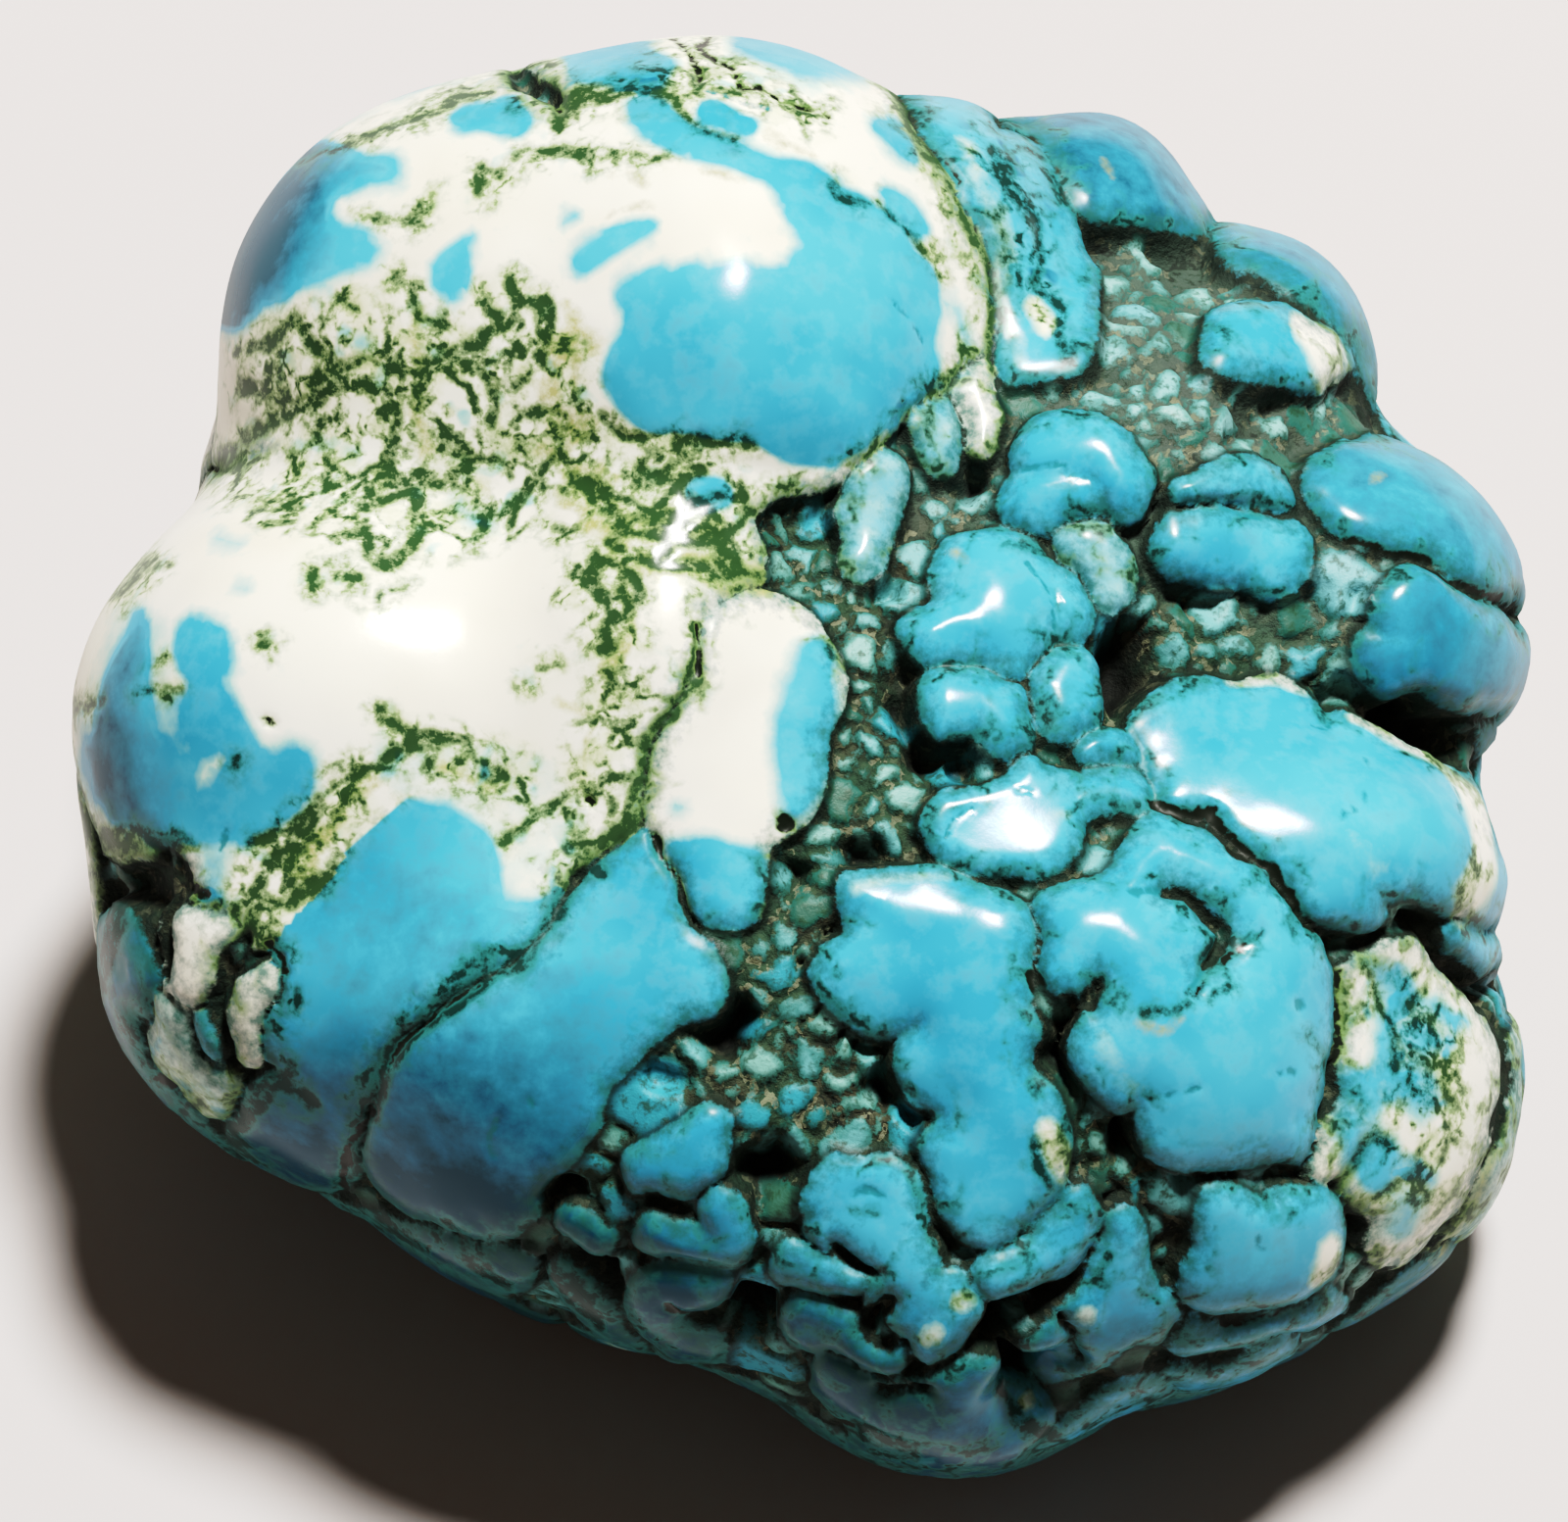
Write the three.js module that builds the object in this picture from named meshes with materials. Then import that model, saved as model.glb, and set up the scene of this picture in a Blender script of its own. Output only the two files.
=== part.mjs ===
// A raw turquoise nugget: one tumbled stone with a knobbly upper face and a small worn flat to rest on.
// Millimetres, +Z up. The stone rests on the plane z = 0 with its flat centred under its box.

import * as THREE from 'three';
import { mergeVertices } from 'three/addons/utils/BufferGeometryUtils.js';

// Driving dimensions of the main mass: half sizes of a flattened pebble.
const HALF_WIDTH = 20.4;
const HALF_DEPTH = 20.2;
const HALF_HEIGHT = 12.2;
const REST_CUT = 1.3; // how much of the pebble's underside is worn away to the resting flat

// The knobbly face leans back from upright: its outward normal climbs 60 degrees from the ground.
const FACE_CLIMB = THREE.MathUtils.degToRad(60);

const FACETS_PER_EDGE = 18; // each edge of the starting icosahedron is split into this many
const REACH = 40; // longer than any radius of the stone
const STEP = 0.4; // how finely a ray is searched for the outermost surface
const BISECTIONS = 22;

// Lumps grown on the pebble. Each is an ellipsoid in the face's own frame:
// centre [across, up the face, out of the face], then its half sizes along the same three ways,
// and how widely it melts into its neighbours.
const LUMPS = [
  { name: 'crown', centre: [-2.6, 13.4, 1.6], half: [9.7, 9.6, 9.4], join: 3 },
  { name: 'crown_left_flank', centre: [-10.3, 13.0, 0.2], half: [7.6, 8.3, 9.0], join: 3.5 },
  { name: 'crown_right_ridge', centre: [5.4, 14.8, -0.6], half: [3.8, 6.2, 6.8], join: 2 },
  { name: 'back_bud', centre: [9.8, 16.8, -3.8], half: [3.5, 4.0, 6.4], join: 1.6 },
  { name: 'back_right_bud', centre: [14.8, 12.5, -2.8], half: [4.1, 4.5, 6.8], join: 1.2 },
  { name: 'right_hollow_floor', centre: [10.6, 8.2, 1.2], half: [6.8, 6.6, 7.8], join: 3 },
  { name: 'right_shoulder', centre: [17.6, 4.2, 0.0], half: [5.9, 6.2, 8.2], join: 1.6 },
  { name: 'right_dome', centre: [14.4, -3.4, 3.8], half: [8.2, 5.0, 8.6], join: 1.4 },
  { name: 'right_heel', centre: [17.2, -10.2, 1.4], half: [6.2, 6.9, 8.8], join: 1.6 },
  { name: 'front_dome', centre: [9.6, -8.4, 6.8], half: [8.2, 7.8, 8.6], join: 2.2 },
  { name: 'front_toe', centre: [5.2, -14.4, 5.4], half: [7.0, 8.0, 9.0], join: 2.4 },
  { name: 'front_right_toe', centre: [12.2, -13.0, 4.4], half: [6.8, 6.8, 8.0], join: 2.4 },
  { name: 'front_left_toe', centre: [-1.8, -11.2, 5.6], half: [5.8, 6.8, 8.4], join: 2.4 },
  { name: 'lower_left_lobe', centre: [-8.4, -7.0, 6.4], half: [6.4, 6.6, 8.2], join: 2 },
  { name: 'left_heel', centre: [-14.8, -5.4, 3.0], half: [6.8, 7.4, 9.2], join: 2.4 },
  { name: 'left_dome', centre: [-13.3, 1.2, 3.6], half: [9.1, 8.0, 9.4], join: 2 },
  { name: 'middle_rise', centre: [-4.4, 2.4, 7.0], half: [5.0, 6.6, 6.4], join: 3 },
  { name: 'back_left_swell', centre: [-11.0, 6.5, -6.5], half: [8.4, 8.0, 7.0], join: 2 },
  { name: 'back_middle_swell', centre: [0.5, 10.5, -8.0], half: [6.8, 7.4, 6.6], join: 2.4 },
  { name: 'back_right_swell', centre: [10.8, 6.8, -6.6], half: [7.6, 7.6, 6.8], join: 3 },
  { name: 'front_under_swell', centre: [-4.0, -13.6, 0.4], half: [7.4, 4.6, 5.0], join: 2 },
  { name: 'right_under_swell', centre: [15.2, -4.6, -4.4], half: [6.4, 6.2, 4.8], join: 2 },
];

// Unit vectors of the face's frame in the stone's frame.
const faceAcross = new THREE.Vector3(1, 0, 0);
const faceUp = new THREE.Vector3(0, Math.sin(FACE_CLIMB), Math.cos(FACE_CLIMB));
const faceOut = new THREE.Vector3(0, -Math.cos(FACE_CLIMB), Math.sin(FACE_CLIMB));

// An ellipsoid's estimated signed distance at a point: negative inside.
function ellipsoidDistance(point, ellipsoid) {
  const offset = point.clone().sub(ellipsoid.centre);
  const local = new THREE.Vector3(
    offset.dot(ellipsoid.axes[0]),
    offset.dot(ellipsoid.axes[1]),
    offset.dot(ellipsoid.axes[2]),
  );
  const scaled = local.clone().divide(ellipsoid.half);
  const gradient = scaled.clone().divide(ellipsoid.half);
  const level = scaled.length();
  return (level * (level - 1)) / Math.max(gradient.length(), 1e-9);
}

// The pebble lies level; the lumps follow the leaning face.
function mainMass() {
  return {
    centre: new THREE.Vector3(0, 0, 0),
    half: new THREE.Vector3(HALF_WIDTH, HALF_DEPTH, HALF_HEIGHT),
    axes: [new THREE.Vector3(1, 0, 0), new THREE.Vector3(0, 1, 0), new THREE.Vector3(0, 0, 1)],
  };
}

function faceLump(lump) {
  const [across, up, out] = lump.centre;
  const centre = new THREE.Vector3()
    .addScaledVector(faceAcross, across)
    .addScaledVector(faceUp, up)
    .addScaledVector(faceOut, out);
  const half = new THREE.Vector3(...lump.half);
  return { centre, half, axes: [faceAcross, faceUp, faceOut], join: lump.join };
}

// Lumps melt together with a narrow fillet, so the clefts between them stay visible.
function stoneDistance(point, masses) {
  let nearest = ellipsoidDistance(point, masses[0]);
  for (const mass of masses.slice(1)) {
    const distance = ellipsoidDistance(point, mass);
    const overlap = Math.max(mass.join - Math.abs(nearest - distance), 0) / mass.join;
    nearest = Math.min(nearest, distance) - (overlap * overlap * mass.join) / 4;
  }
  return nearest;
}

// Radius of the stone's outermost surface along one direction from its middle.
function outerRadius(direction, masses) {
  const at = (radius) => stoneDistance(direction.clone().multiplyScalar(radius), masses);
  let outside = REACH;
  let inside = REACH - STEP;
  while (at(inside) > 0) {
    outside = inside;
    inside -= STEP;
  }
  for (let i = 0; i < BISECTIONS; i += 1) {
    const middle = (inside + outside) / 2;
    if (at(middle) > 0) {
      outside = middle;
    } else {
      inside = middle;
    }
  }
  return inside;
}

// The whole stone: an icosphere drawn out to the lumps and cut off flat where it rests.
function nuggetGeometry() {
  const masses = [mainMass(), ...LUMPS.map(faceLump)];
  const restHeight = REST_CUT - HALF_HEIGHT;
  let geometry = new THREE.IcosahedronGeometry(1, FACETS_PER_EDGE - 1);
  geometry.deleteAttribute('normal');
  geometry.deleteAttribute('uv');
  geometry = mergeVertices(geometry, 1e-5);
  const position = geometry.getAttribute('position');
  const direction = new THREE.Vector3();
  for (let i = 0; i < position.count; i += 1) {
    direction.fromBufferAttribute(position, i).normalize();
    let radius = outerRadius(direction, masses);
    if (direction.z * radius < restHeight) {
      radius = restHeight / direction.z;
    }
    position.setXYZ(i, direction.x * radius, direction.y * radius, direction.z * radius);
  }
  geometry.computeBoundingBox();
  const { min, max } = geometry.boundingBox;
  geometry.translate(-(min.x + max.x) / 2, -(min.y + max.y) / 2, -min.z);
  geometry.computeVertexNormals();
  return geometry;
}

const tumbledTurquoise = new THREE.MeshStandardMaterial({
  color: 0x4fb4cb,
  roughness: 0.25,
  metalness: 0,
});

const nugget = new THREE.Mesh(nuggetGeometry(), tumbledTurquoise);
nugget.name = 'nugget';

const stone = new THREE.Group();
stone.add(nugget);

export default stone;
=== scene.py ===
import itertools
import math

import bmesh
import bpy
import numpy as np
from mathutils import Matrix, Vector
from mathutils.bvhtree import BVHTree
from mathutils.kdtree import KDTree


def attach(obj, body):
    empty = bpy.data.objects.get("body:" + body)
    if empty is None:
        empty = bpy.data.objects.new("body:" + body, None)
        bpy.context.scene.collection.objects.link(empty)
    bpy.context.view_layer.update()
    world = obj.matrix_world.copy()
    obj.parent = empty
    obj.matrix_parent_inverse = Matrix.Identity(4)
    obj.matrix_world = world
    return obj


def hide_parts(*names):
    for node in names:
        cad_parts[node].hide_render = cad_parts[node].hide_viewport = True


# The nugget is one tumbled stone: a porcelain-white host with turquoise grown through it in domes and
# buds, dark gritty matrix sunk between them, and moss-green dendrites in the white. Sizes are in
# millimetres until the mesh is made.
#
# The growths are laid out on a plan: a sheet that leans back against the stone's big face, with u to the
# right, v up the slope and (0, 0) at the face's middle. Past the rim of that face the plan is rolled on
# round the side, so a place outside the rim lies on the flank or the back.

MM = 0.001
FACE_CLIMB = math.radians(60)
FACE_CENTRE = np.array([-0.54, 1.16, 10.9])
# How far off the eye is from the face's middle, how wide a strip it takes in there, and how wide the
# camera's plate is.
EYE_RANGE = 286.0
FIELD = 50.0
SENSOR = 36.0

ACROSS = np.array([1.0, 0.0, 0.0])
UP = np.array([0.0, math.sin(FACE_CLIMB), math.cos(FACE_CLIMB)])
OUT = np.array([0.0, -math.cos(FACE_CLIMB), math.sin(FACE_CLIMB)])

# The skin: how finely it is first cut and how many triangles it may come to, how often its facets are
# smoothed, how many bearings its rim is measured on, and a distance that is well outside the stone.
SKIN_LEVEL = 7
TRIANGLES = 196000
SMOOTHING = 14
RIM_STEPS = 360
OUTSIDE = 60.0

# Relief: the skin stands out over the CAD solid by the swell. From it a growth's edge and the matrix lie
# this far down, with a wall of this width between them. Growths spread past their outlines, and one that
# is further off than FAR counts as none.
SKIN_SWELL = 0.15
EDGE_DROP = 0.2
MATRIX_DROP = 0.55
WALL = 0.22
SPREAD = 0.32
FAR = 3.0

# Growths scattered over the back and the underside: the start of the random draws, the least and most
# radius, the share of two radii that keeps neighbours apart, the bulge, about how many there may be, and
# the height below which all of them are turquoise.
SEED = 11
SEED_SIZES = (1.7, 4.2)
SEED_GAP = 0.72
SEED_BULGE = 0.45
MOST_SEEDS = 90
BLUE_BELOW = 6.0

# Pebbles: how far one spreads past its radius, how high it rises for its size, and how far up the face the
# big ones reach.
PEBBLE_SPREAD = 1.35
PEBBLE_RISE = 0.36
BIG_PEBBLE = 0.7
BIG_PEBBLE_TOP = 9.0

# Tints run from the porcelain host up to blue, and past blue into painted shade: turquoise darkened as it
# looks in shade, the darkest at the top.
WHITE = 0.0
MILKY = 0.35
PALE = 0.62
BLUE = 1.0
PAINTED_SHADE_TINT = 1.5

# Growths that stand proud of the matrix: group, tint, bulge, shoulder width and shape. Members of one
# group run into each other without a seam. An "edge" is a closed outline of (u, v); a "run" is a
# rounded finger through (u, v, radius).
# a tint above BLUE darkens a growth with painted shade
GROWTHS = [
    # the porcelain body: crown, left dome and the lobe under it
    ("host", WHITE, 0.0, 1.3, "edge", [
        (-18.2, 9.8), (-19.4, 12.5), (-18.8, 16.5), (-15.5, 21), (-11, 23.4), (-5, 25.4), (0, 25.8),
        (2.2, 23), (3.5, 21), (4.4, 19.5), (5.2, 18.2), (5.8, 17), (6.6, 15.6), (6.5, 13.6),
        (5.4, 12.2), (4, 11.4), (2.6, 9.9), (1.2, 8.6), (-0.6, 8.3), (-1.5, 7.4), (-1, 6.2),
        (-2.2, 5.7), (-4, 5.6), (-8, 7), (-13, 8.6), (-16.4, 9.9)]),
    ("host", WHITE, 0.0, 1.3, "edge", [
        (-18.4, 9), (-16.8, 9.5), (-14.8, 10.4), (-11, 10), (-4, 8), (-1.2, 6), (-1.4, 5.3),
        (-2.5, 4.5), (-2.9, 3), (-3.6, 1.6), (-4.2, 0.2), (-4.5, -1.4), (-5.3, -2.7), (-6.8, -3.2),
        (-7.4, -4), (-9.5, -2.4), (-11, -1.6), (-12.4, -2), (-14, -3.6), (-15.6, -5.6),
        (-17, -5.8), (-17.8, -4.6), (-19, -4.4), (-19.3, -2.9), (-21, -3), (-22.3, -1.3),
        (-26, 0), (-27, 4), (-24, 8.5), (-20, 9.4)]),
    ("host", BLUE, 0.0, 1.4, "edge", [
        (-11, -0.2), (-9, -1.4), (-7.3, -3.4), (-7.4, -4.8), (-8.4, -6.2), (-10.2, -7.3),
        (-11.5, -8.4), (-12.7, -9.8), (-13.4, -11.3), (-13.8, -13.2), (-15.5, -13.6), (-17.2, -12.3),
        (-17.2, -10.8), (-16, -10), (-16.9, -8.7), (-16.2, -6.4), (-16.2, -5), (-14.9, -3.9),
        (-13.9, -2.8), (-13, -1.7), (-12, -0.6)]),
    ("lobe", BLUE, 0.3, 1.6, "edge", [
        (-5.4, -2.9), (-4.3, -2.5), (-3.9, -3.3), (-3.6, -4.4), (-3.3, -5.4), (-2.4, -6.1),
        (-2, -6.9), (-2.4, -7.7), (-3.4, -8.1), (-4.4, -8.8), (-5.1, -9.5), (-5.9, -10.4),
        (-6.1, -11.6), (-7, -12.6), (-7.9, -13.6), (-8, -14.6), (-9.5, -15), (-11.5, -14.3),
        (-13, -13), (-13.2, -11.3), (-12.6, -9.7), (-11.5, -8.4), (-9.8, -7.1), (-8, -5.9),
        (-7.1, -4.7), (-6.2, -4)]),
    ("tall", WHITE, 0.25, 1.2, "edge", [
        (-2.4, 4.4), (-1.3, 5), (0.2, 4.6), (1.2, 3.6), (1.8, 2.2), (1.2, 0.8), (1.1, -0.6),
        (0.6, -1.8), (-0.4, -2.6), (-0.8, -3.6), (-0.9, -4.8), (-1.9, -5.2), (-2.7, -4.8),
        (-3.1, -3.8), (-3.8, -2.4), (-4.1, -1), (-3.9, 0.4), (-3.1, 1.8), (-2.6, 3.1)]),
    # the front pair of domes that share one ridge, and the bar and dome above them
    ("boot", BLUE, 0.9, 1.7, "edge", [
        (1.9, -4), (3.2, -3.8), (4.6, -3.7), (6, -4.3), (7.3, -4.7), (7.9, -5.2), (8, -6.4),
        (7.7, -7.6), (8, -8.6), (7.7, -9.7), (8.3, -10.4), (8.7, -11.6), (8.6, -12.9), (8.3, -14),
        (7.6, -15), (6.4, -15.3), (5.3, -14.8), (4.9, -13.6), (4.6, -12.2), (5.2, -11.2),
        (4.2, -10.7), (3.6, -10), (3.7, -9.3), (4.1, -8.6), (3, -8.8), (1.9, -8), (1.2, -6.8),
        (1.4, -5.9), (2.2, -5.4)]),
    ("front", BLUE, 0.9, 1.8, "edge", [
        (8.1, -4.8), (9, -4.1), (10.3, -3.8), (11, -2.9), (11.7, -2), (13, -2.2), (14.4, -2.9),
        (15.5, -3.8), (16.3, -5.2), (17, -6.4), (17.4, -7.8), (17.2, -9.4), (16.9, -11),
        (16.7, -12.6), (15, -12.7), (13.2, -12.9), (11.9, -12.6), (11.4, -11), (10.6, -11),
        (9.6, -10), (9.3, -9), (10, -8), (9.6, -7.4), (8.8, -7.3), (8.1, -6.4)]),
    ("dome", BLUE, 0.7, 1.7, "edge", [
        (12, 2.1), (13, 2.3), (14, 2.2), (15.5, 2.6), (16.5, 2.3), (17.1, 1.5), (17.8, 1.5),
        (19, 0.8), (20, 0.2), (20.9, -0.2), (21.9, -0.9), (22.6, -2.5), (23.6, -4), (23.2, -5.6),
        (22, -5), (20.9, -4.6), (20, -4), (18.9, -4), (18.6, -5), (17.4, -5.3), (16.6, -5),
        (16, -4), (15.4, -3), (14.4, -2), (13.4, -1.5), (12.2, -1.3), (11.8, -0.4), (11.4, 0.4),
        (11.4, 1.4)]),
    ("bar", BLUE, 0.35, 1.0, "edge", [
        (4.5, -2), (5.1, -1.2), (6.4, -1.1), (7.2, -0.6), (7.8, 0.1), (8.3, -0.3), (9.4, -0.6),
        (9.5, -1.8), (9.3, -2.6), (8.6, -3.4), (7.4, -3.6), (6, -3.5), (5.1, -3.2), (4.7, -2.7)]),
    ("bar", BLUE, 0.35, 0.7, "run", [(9.4, -1.1, 0.45), (10.4, -0.8, 0.62), (11.2, -1, 0.55)]),
    # crown's right ridge and the buds behind it
    ("ridge", BLUE, 0.2, 0.8, "edge", [
        (6.6, 19.9), (7.6, 20), (8.3, 18.8), (9, 17.2), (9.7, 15.6), (9.9, 14), (9.4, 12.9),
        (8.5, 12.6), (7.4, 12.4), (6.9, 13.6), (7, 15.2), (6.2, 16.9), (5.5, 18.4), (4.3, 20.2),
        (3.4, 22), (3.2, 24.6), (6, 24), (6.4, 21)]),
    ("bud", 1.35, 0.4, 0.9, "edge", [
        (7.2, 20.6), (7.8, 22.6), (11, 22), (14, 19.4), (13.6, 17.1), (12, 17.2), (10.6, 17.5),
        (9.6, 17.6), (8.9, 18.4), (8.2, 19.8)]),
    ("back_right", 1.3, 0.4, 0.7, "run", [
        (14.6, 16.7, 0.7), (16.1, 16.3, 1.0), (17.8, 15.1, 1.1), (19, 13.5, 1.0), (19.2, 12, 0.7)]),
    ("back_inner", BLUE, 0.7, 0.9, "run", [
        (14.6, 13.3, 1.1), (15.7, 13.3, 1.15), (16.8, 12.9, 1.0)]),
    # knobs between crown and right dome
    ("knob_long", PALE, 0.5, 0.7, "run", [(2.9, 8.7, 0.8), (2.7, 7.4, 0.65), (2.5, 6.4, 0.5)]),
    ("knob_notch", PALE, 0.4, 0.6, "run", [(4.9, 10.7, 0.8), (4.9, 9.7, 0.5)]),
    ("knob_strip", WHITE, 0.3, 0.5, "run", [
        (6.0, 12.5, 0.5), (6.3, 11.2, 0.42), (6.4, 10.3, 0.3)]),
    ("knob_top", BLUE, 0.9, 1.3, "run", [(8.7, 9.7, 1.2), (10, 9.8, 1.05), (10.7, 8.8, 0.95)]),
    ("knob_top", BLUE, 0.9, 1.3, "run", [(8.1, 8.3, 0.95), (9.2, 8.2, 0.9)]),
    ("knob_band", PALE, 0.4, 0.6, "run", [(9.5, 7.0, 0.72), (10.3, 6.2, 0.66), (10.6, 5.4, 0.5)]),
    ("knob_mid", BLUE, 1.4, 1.9, "run", [(6.9, 4.9, 2.1), (6.5, 5.7, 1.6)]),
    ("knob_mid", BLUE, 1.4, 1.9, "run", [(4.7, 4, 0.8), (6.2, 4.3, 1.5)]),
    ("knob_mid", BLUE, 1.4, 1.9, "run", [(8.9, 5, 0.8), (8.9, 4.4, 0.7)]),
    ("knob_low", BLUE, 0.7, 0.9, "run", [(5.3, 1.9, 0.9), (6.5, 1.9, 0.85), (7.3, 0.9, 0.55)]),
    ("knob_side", BLUE, 0.6, 0.8, "run", [(8.9, 2.8, 0.85), (9, 1.7, 0.85)]),
    ("knob_foot", BLUE, 0.4, 0.5, "run", [(9.9, 0.5, 0.42), (10.8, 0.5, 0.42)]),
    ("side_knob", BLUE, 0.7, 1.0, "run", [
        (12.8, 6.8, 1.0), (14.2, 6.9, 1.25), (15.5, 6.5, 1.15)]),
    ("side_top", BLUE, 0.5, 0.7, "run", [(13, 8.5, 0.5), (14.6, 8.7, 0.75), (15.6, 8.1, 0.6)]),
    ("shoulder_top", 1.25, 0.7, 1.2, "run", [
        (18.6, 8.6, 1.6), (20.4, 8.2, 1.5), (22.3, 7, 1.3), (24, 6, 1)]),
    ("shoulder_low", 1.25, 0.7, 1.2, "run", [
        (20.3, 4.8, 1.3), (21.4, 3.7, 1.5), (23.2, 2.6, 1.4), (25, 3.4, 1.4)]),
    ("shoulder_low", 1.25, 0.7, 0.9, "run", [(19.3, 3.3, 0.9), (20.2, 3.6, 1)]),
    ("shoulder_rim", 1.25, 0.4, 0.6, "run", [(23.3, 0.2, 0.6), (22.8, 1.3, 0.5)]),
    # the veined heel at the right
    ("heel", WHITE, 0.2, 1.0, "edge", [
        (17.8, -6.8), (18.6, -6.4), (19.3, -5.9), (20, -6), (20.6, -6.8), (21.4, -7.4),
        (22.2, -8.3), (22.5, -9.6), (22.4, -11.4), (22, -13), (21.2, -14.3), (20.2, -15.2),
        (19.1, -15.9), (18.7, -15.5), (19, -14.5), (18.3, -13.9), (18, -13.3), (18.4, -12.2),
        (17.6, -13), (16.9, -13.1), (17.2, -11.8), (17.6, -10.6), (17.7, -9), (17.6, -7.8)]),
    ("heel_rim", MILKY, 0.3, 0.6, "run", [
        (23.8, -8.9, 0.5), (24.4, -10.2, 0.9), (24, -11.8, 0.8), (23.1, -13.4, 0.6),
        (22.2, -14.9, 0.55), (20.9, -16.3, 0.5), (19.2, -17.3, 0.4)]),
    ("heel_top", BLUE, 0.4, 0.6, "run", [(21.7, -5.6, 0.45), (22.6, -5.9, 0.5)]),
    # the low front: block, toe buds and rim pieces
    ("block", BLUE, 0.5, 0.9, "edge", [
        (13.4, -14), (14.4, -13.7), (15.2, -14.2), (16.4, -13.8), (17.5, -14), (17.6, -15.4),
        (17.1, -16.8), (15.6, -17.4), (14, -17.6), (13.1, -17), (13.2, -15.5)]),
    ("block_rim", 0.75, 0.2, 0.4, "run", [
        (12.6, -18.4, 0.25), (14.5, -18, 0.3), (16.5, -17.7, 0.42), (17.4, -17.3, 0.32)]),
    ("low_rim", 0.75, 0.2, 0.4, "run", [
        (12.5, -19.9, 0.3), (14.3, -19.6, 0.3), (15.8, -18.7, 0.35)]),
    ("toe_upper", BLUE, 0.5, 0.9, "run", [
        (1.7, -13.8, 0.85), (3.3, -13.9, 0.95), (3.3, -15, 0.9), (1.9, -14.7, 0.8)]),
    ("toe_upper", BLUE, 0.4, 1.0, "run", [
        (3.7, -15.4, 0.8), (3.9, -16.4, 0.95), (4, -17.3, 1), (5.4, -17.3, 0.8), (5, -18.4, 0.75)]),
    ("toe_left", BLUE, 0.3, 0.5, "run", [(0.4, -16, 0.5), (1.2, -16.3, 0.5), (2.1, -16.5, 0.3)]),
    ("toe_low", 1.2, 0.3, 0.6, "run", [
        (0.5, -17.8, 0.55), (1.6, -18.2, 0.55), (2.5, -18.6, 0.5), (3.4, -18.9, 0.5)]),
    ("toe_rim", 1.2, 0.3, 0.9, "run", [
        (1.5, -19.5, 0.6), (2.9, -20.6, 0.8), (4.6, -21, 1.1), (6.2, -20.7, 1.3), (7.7, -21, 0.8)]),
    ("toe_rim", 1.2, 0.3, 0.9, "run", [(3, -21.6, 0.7), (5, -22.2, 0.9), (7, -22, 0.8)]),
    ("finger", BLUE, 0.5, 0.7, "run", [
        (6.7, -16.5, 0.55), (7.8, -15.9, 0.68), (8.9, -15.2, 0.78), (9.3, -14.4, 0.6)]),
    ("thumb", BLUE, 0.4, 0.9, "run", [
        (10.8, -14.9, 0.5), (10.7, -16.1, 0.75), (10.7, -17.2, 1.0), (9.7, -18.2, 0.95),
        (8.5, -19, 0.6)]),
    ("thumb", BLUE, 0.4, 0.9, "run", [(10.7, -17.4, 0.9), (12, -17.7, 0.6)]),
    ("low_strip", 0.7, 0.2, 0.4, "run", [
        (8.7, -21.9, 0.3), (9.9, -21, 0.4), (11.2, -20.3, 0.42), (12.2, -20.1, 0.3)]),
    # buds between the left lobes and the toe
    ("left_bud", BLUE, 0.5, 0.8, "run", [
        (-2.4, -11.6, 0.55), (-3, -12.6, 0.92), (-4.5, -13.1, 0.5)]),
    ("left_bud_low", 1.1, 0.4, 0.7, "run", [
        (-2, -14.4, 0.6), (-1.9, -15.2, 0.62), (-2.9, -15.3, 0.55), (-4.3, -15, 0.4)]),
    ("left_foot", 1.1, 0.4, 0.7, "run", [
        (-2.6, -16.6, 0.55), (-3.9, -16.9, 0.8), (-4.2, -17.9, 0.75), (-3.2, -18.7, 0.5),
        (-2.3, -18.9, 0.35)]),
    ("left_under", PAINTED_SHADE_TINT, 0.3, 0.6, "run", [
        (-16, -14.6, 0.5), (-12.5, -15.3, 0.65), (-10, -15.8, 0.6), (-8.7, -16.3, 0.45)]),
    ("left_chip", BLUE, 0.3, 0.4, "run", [(-6.6, -14.7, 0.35), (-5.9, -15.3, 0.35)]),
    ("left_sliver", BLUE, 0.2, 0.4, "run", [(-7.2, -16.4, 0.3), (-6, -17.6, 0.38), (-4.7, -18.7, 0.3)]),
    ("left_rim", PAINTED_SHADE_TINT, 0.2, 0.4, "run", [(-2.8, -19.8, 0.3), (-1.3, -20.5, 0.32), (0, -20.8, 0.25)]),
    # the shaded left flank
    ("flank_white", WHITE, 0.2, 0.6, "edge", [
        (-19.6, -4.8), (-18.6, -4.5), (-17.4, -5.1), (-17.6, -6), (-18.3, -6.8), (-18.6, -7.5),
        (-19.4, -7.4), (-19.7, -6.2)]),
    ("flank_inner", WHITE, 0.2, 0.5, "edge", [
        (-16.9, -6.9), (-16.2, -7), (-15.9, -7.8), (-16.6, -8.5), (-17, -9.6), (-17.5, -9),
        (-17.6, -7.8)]),
    ("flank_chip", PALE, 0.2, 0.4, "run", [(-18.3, -8.3, 0.35), (-18.1, -9, 0.3)]),
    ("flank_low", MILKY, 0.2, 0.6, "run", [
        (-19.6, -8.3, 0.6), (-19.4, -9.3, 0.6), (-18.7, -10, 0.5), (-18, -10.6, 0.5)]),
    ("flank_rim", 1.2, 0.3, 0.8, "run", [
        (-21.2, -5.4, 0.5), (-21, -7.6, 0.8), (-20.8, -9.8, 0.8), (-19.6, -11.6, 0.8),
        (-18.2, -12.9, 0.6)]),
]

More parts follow.
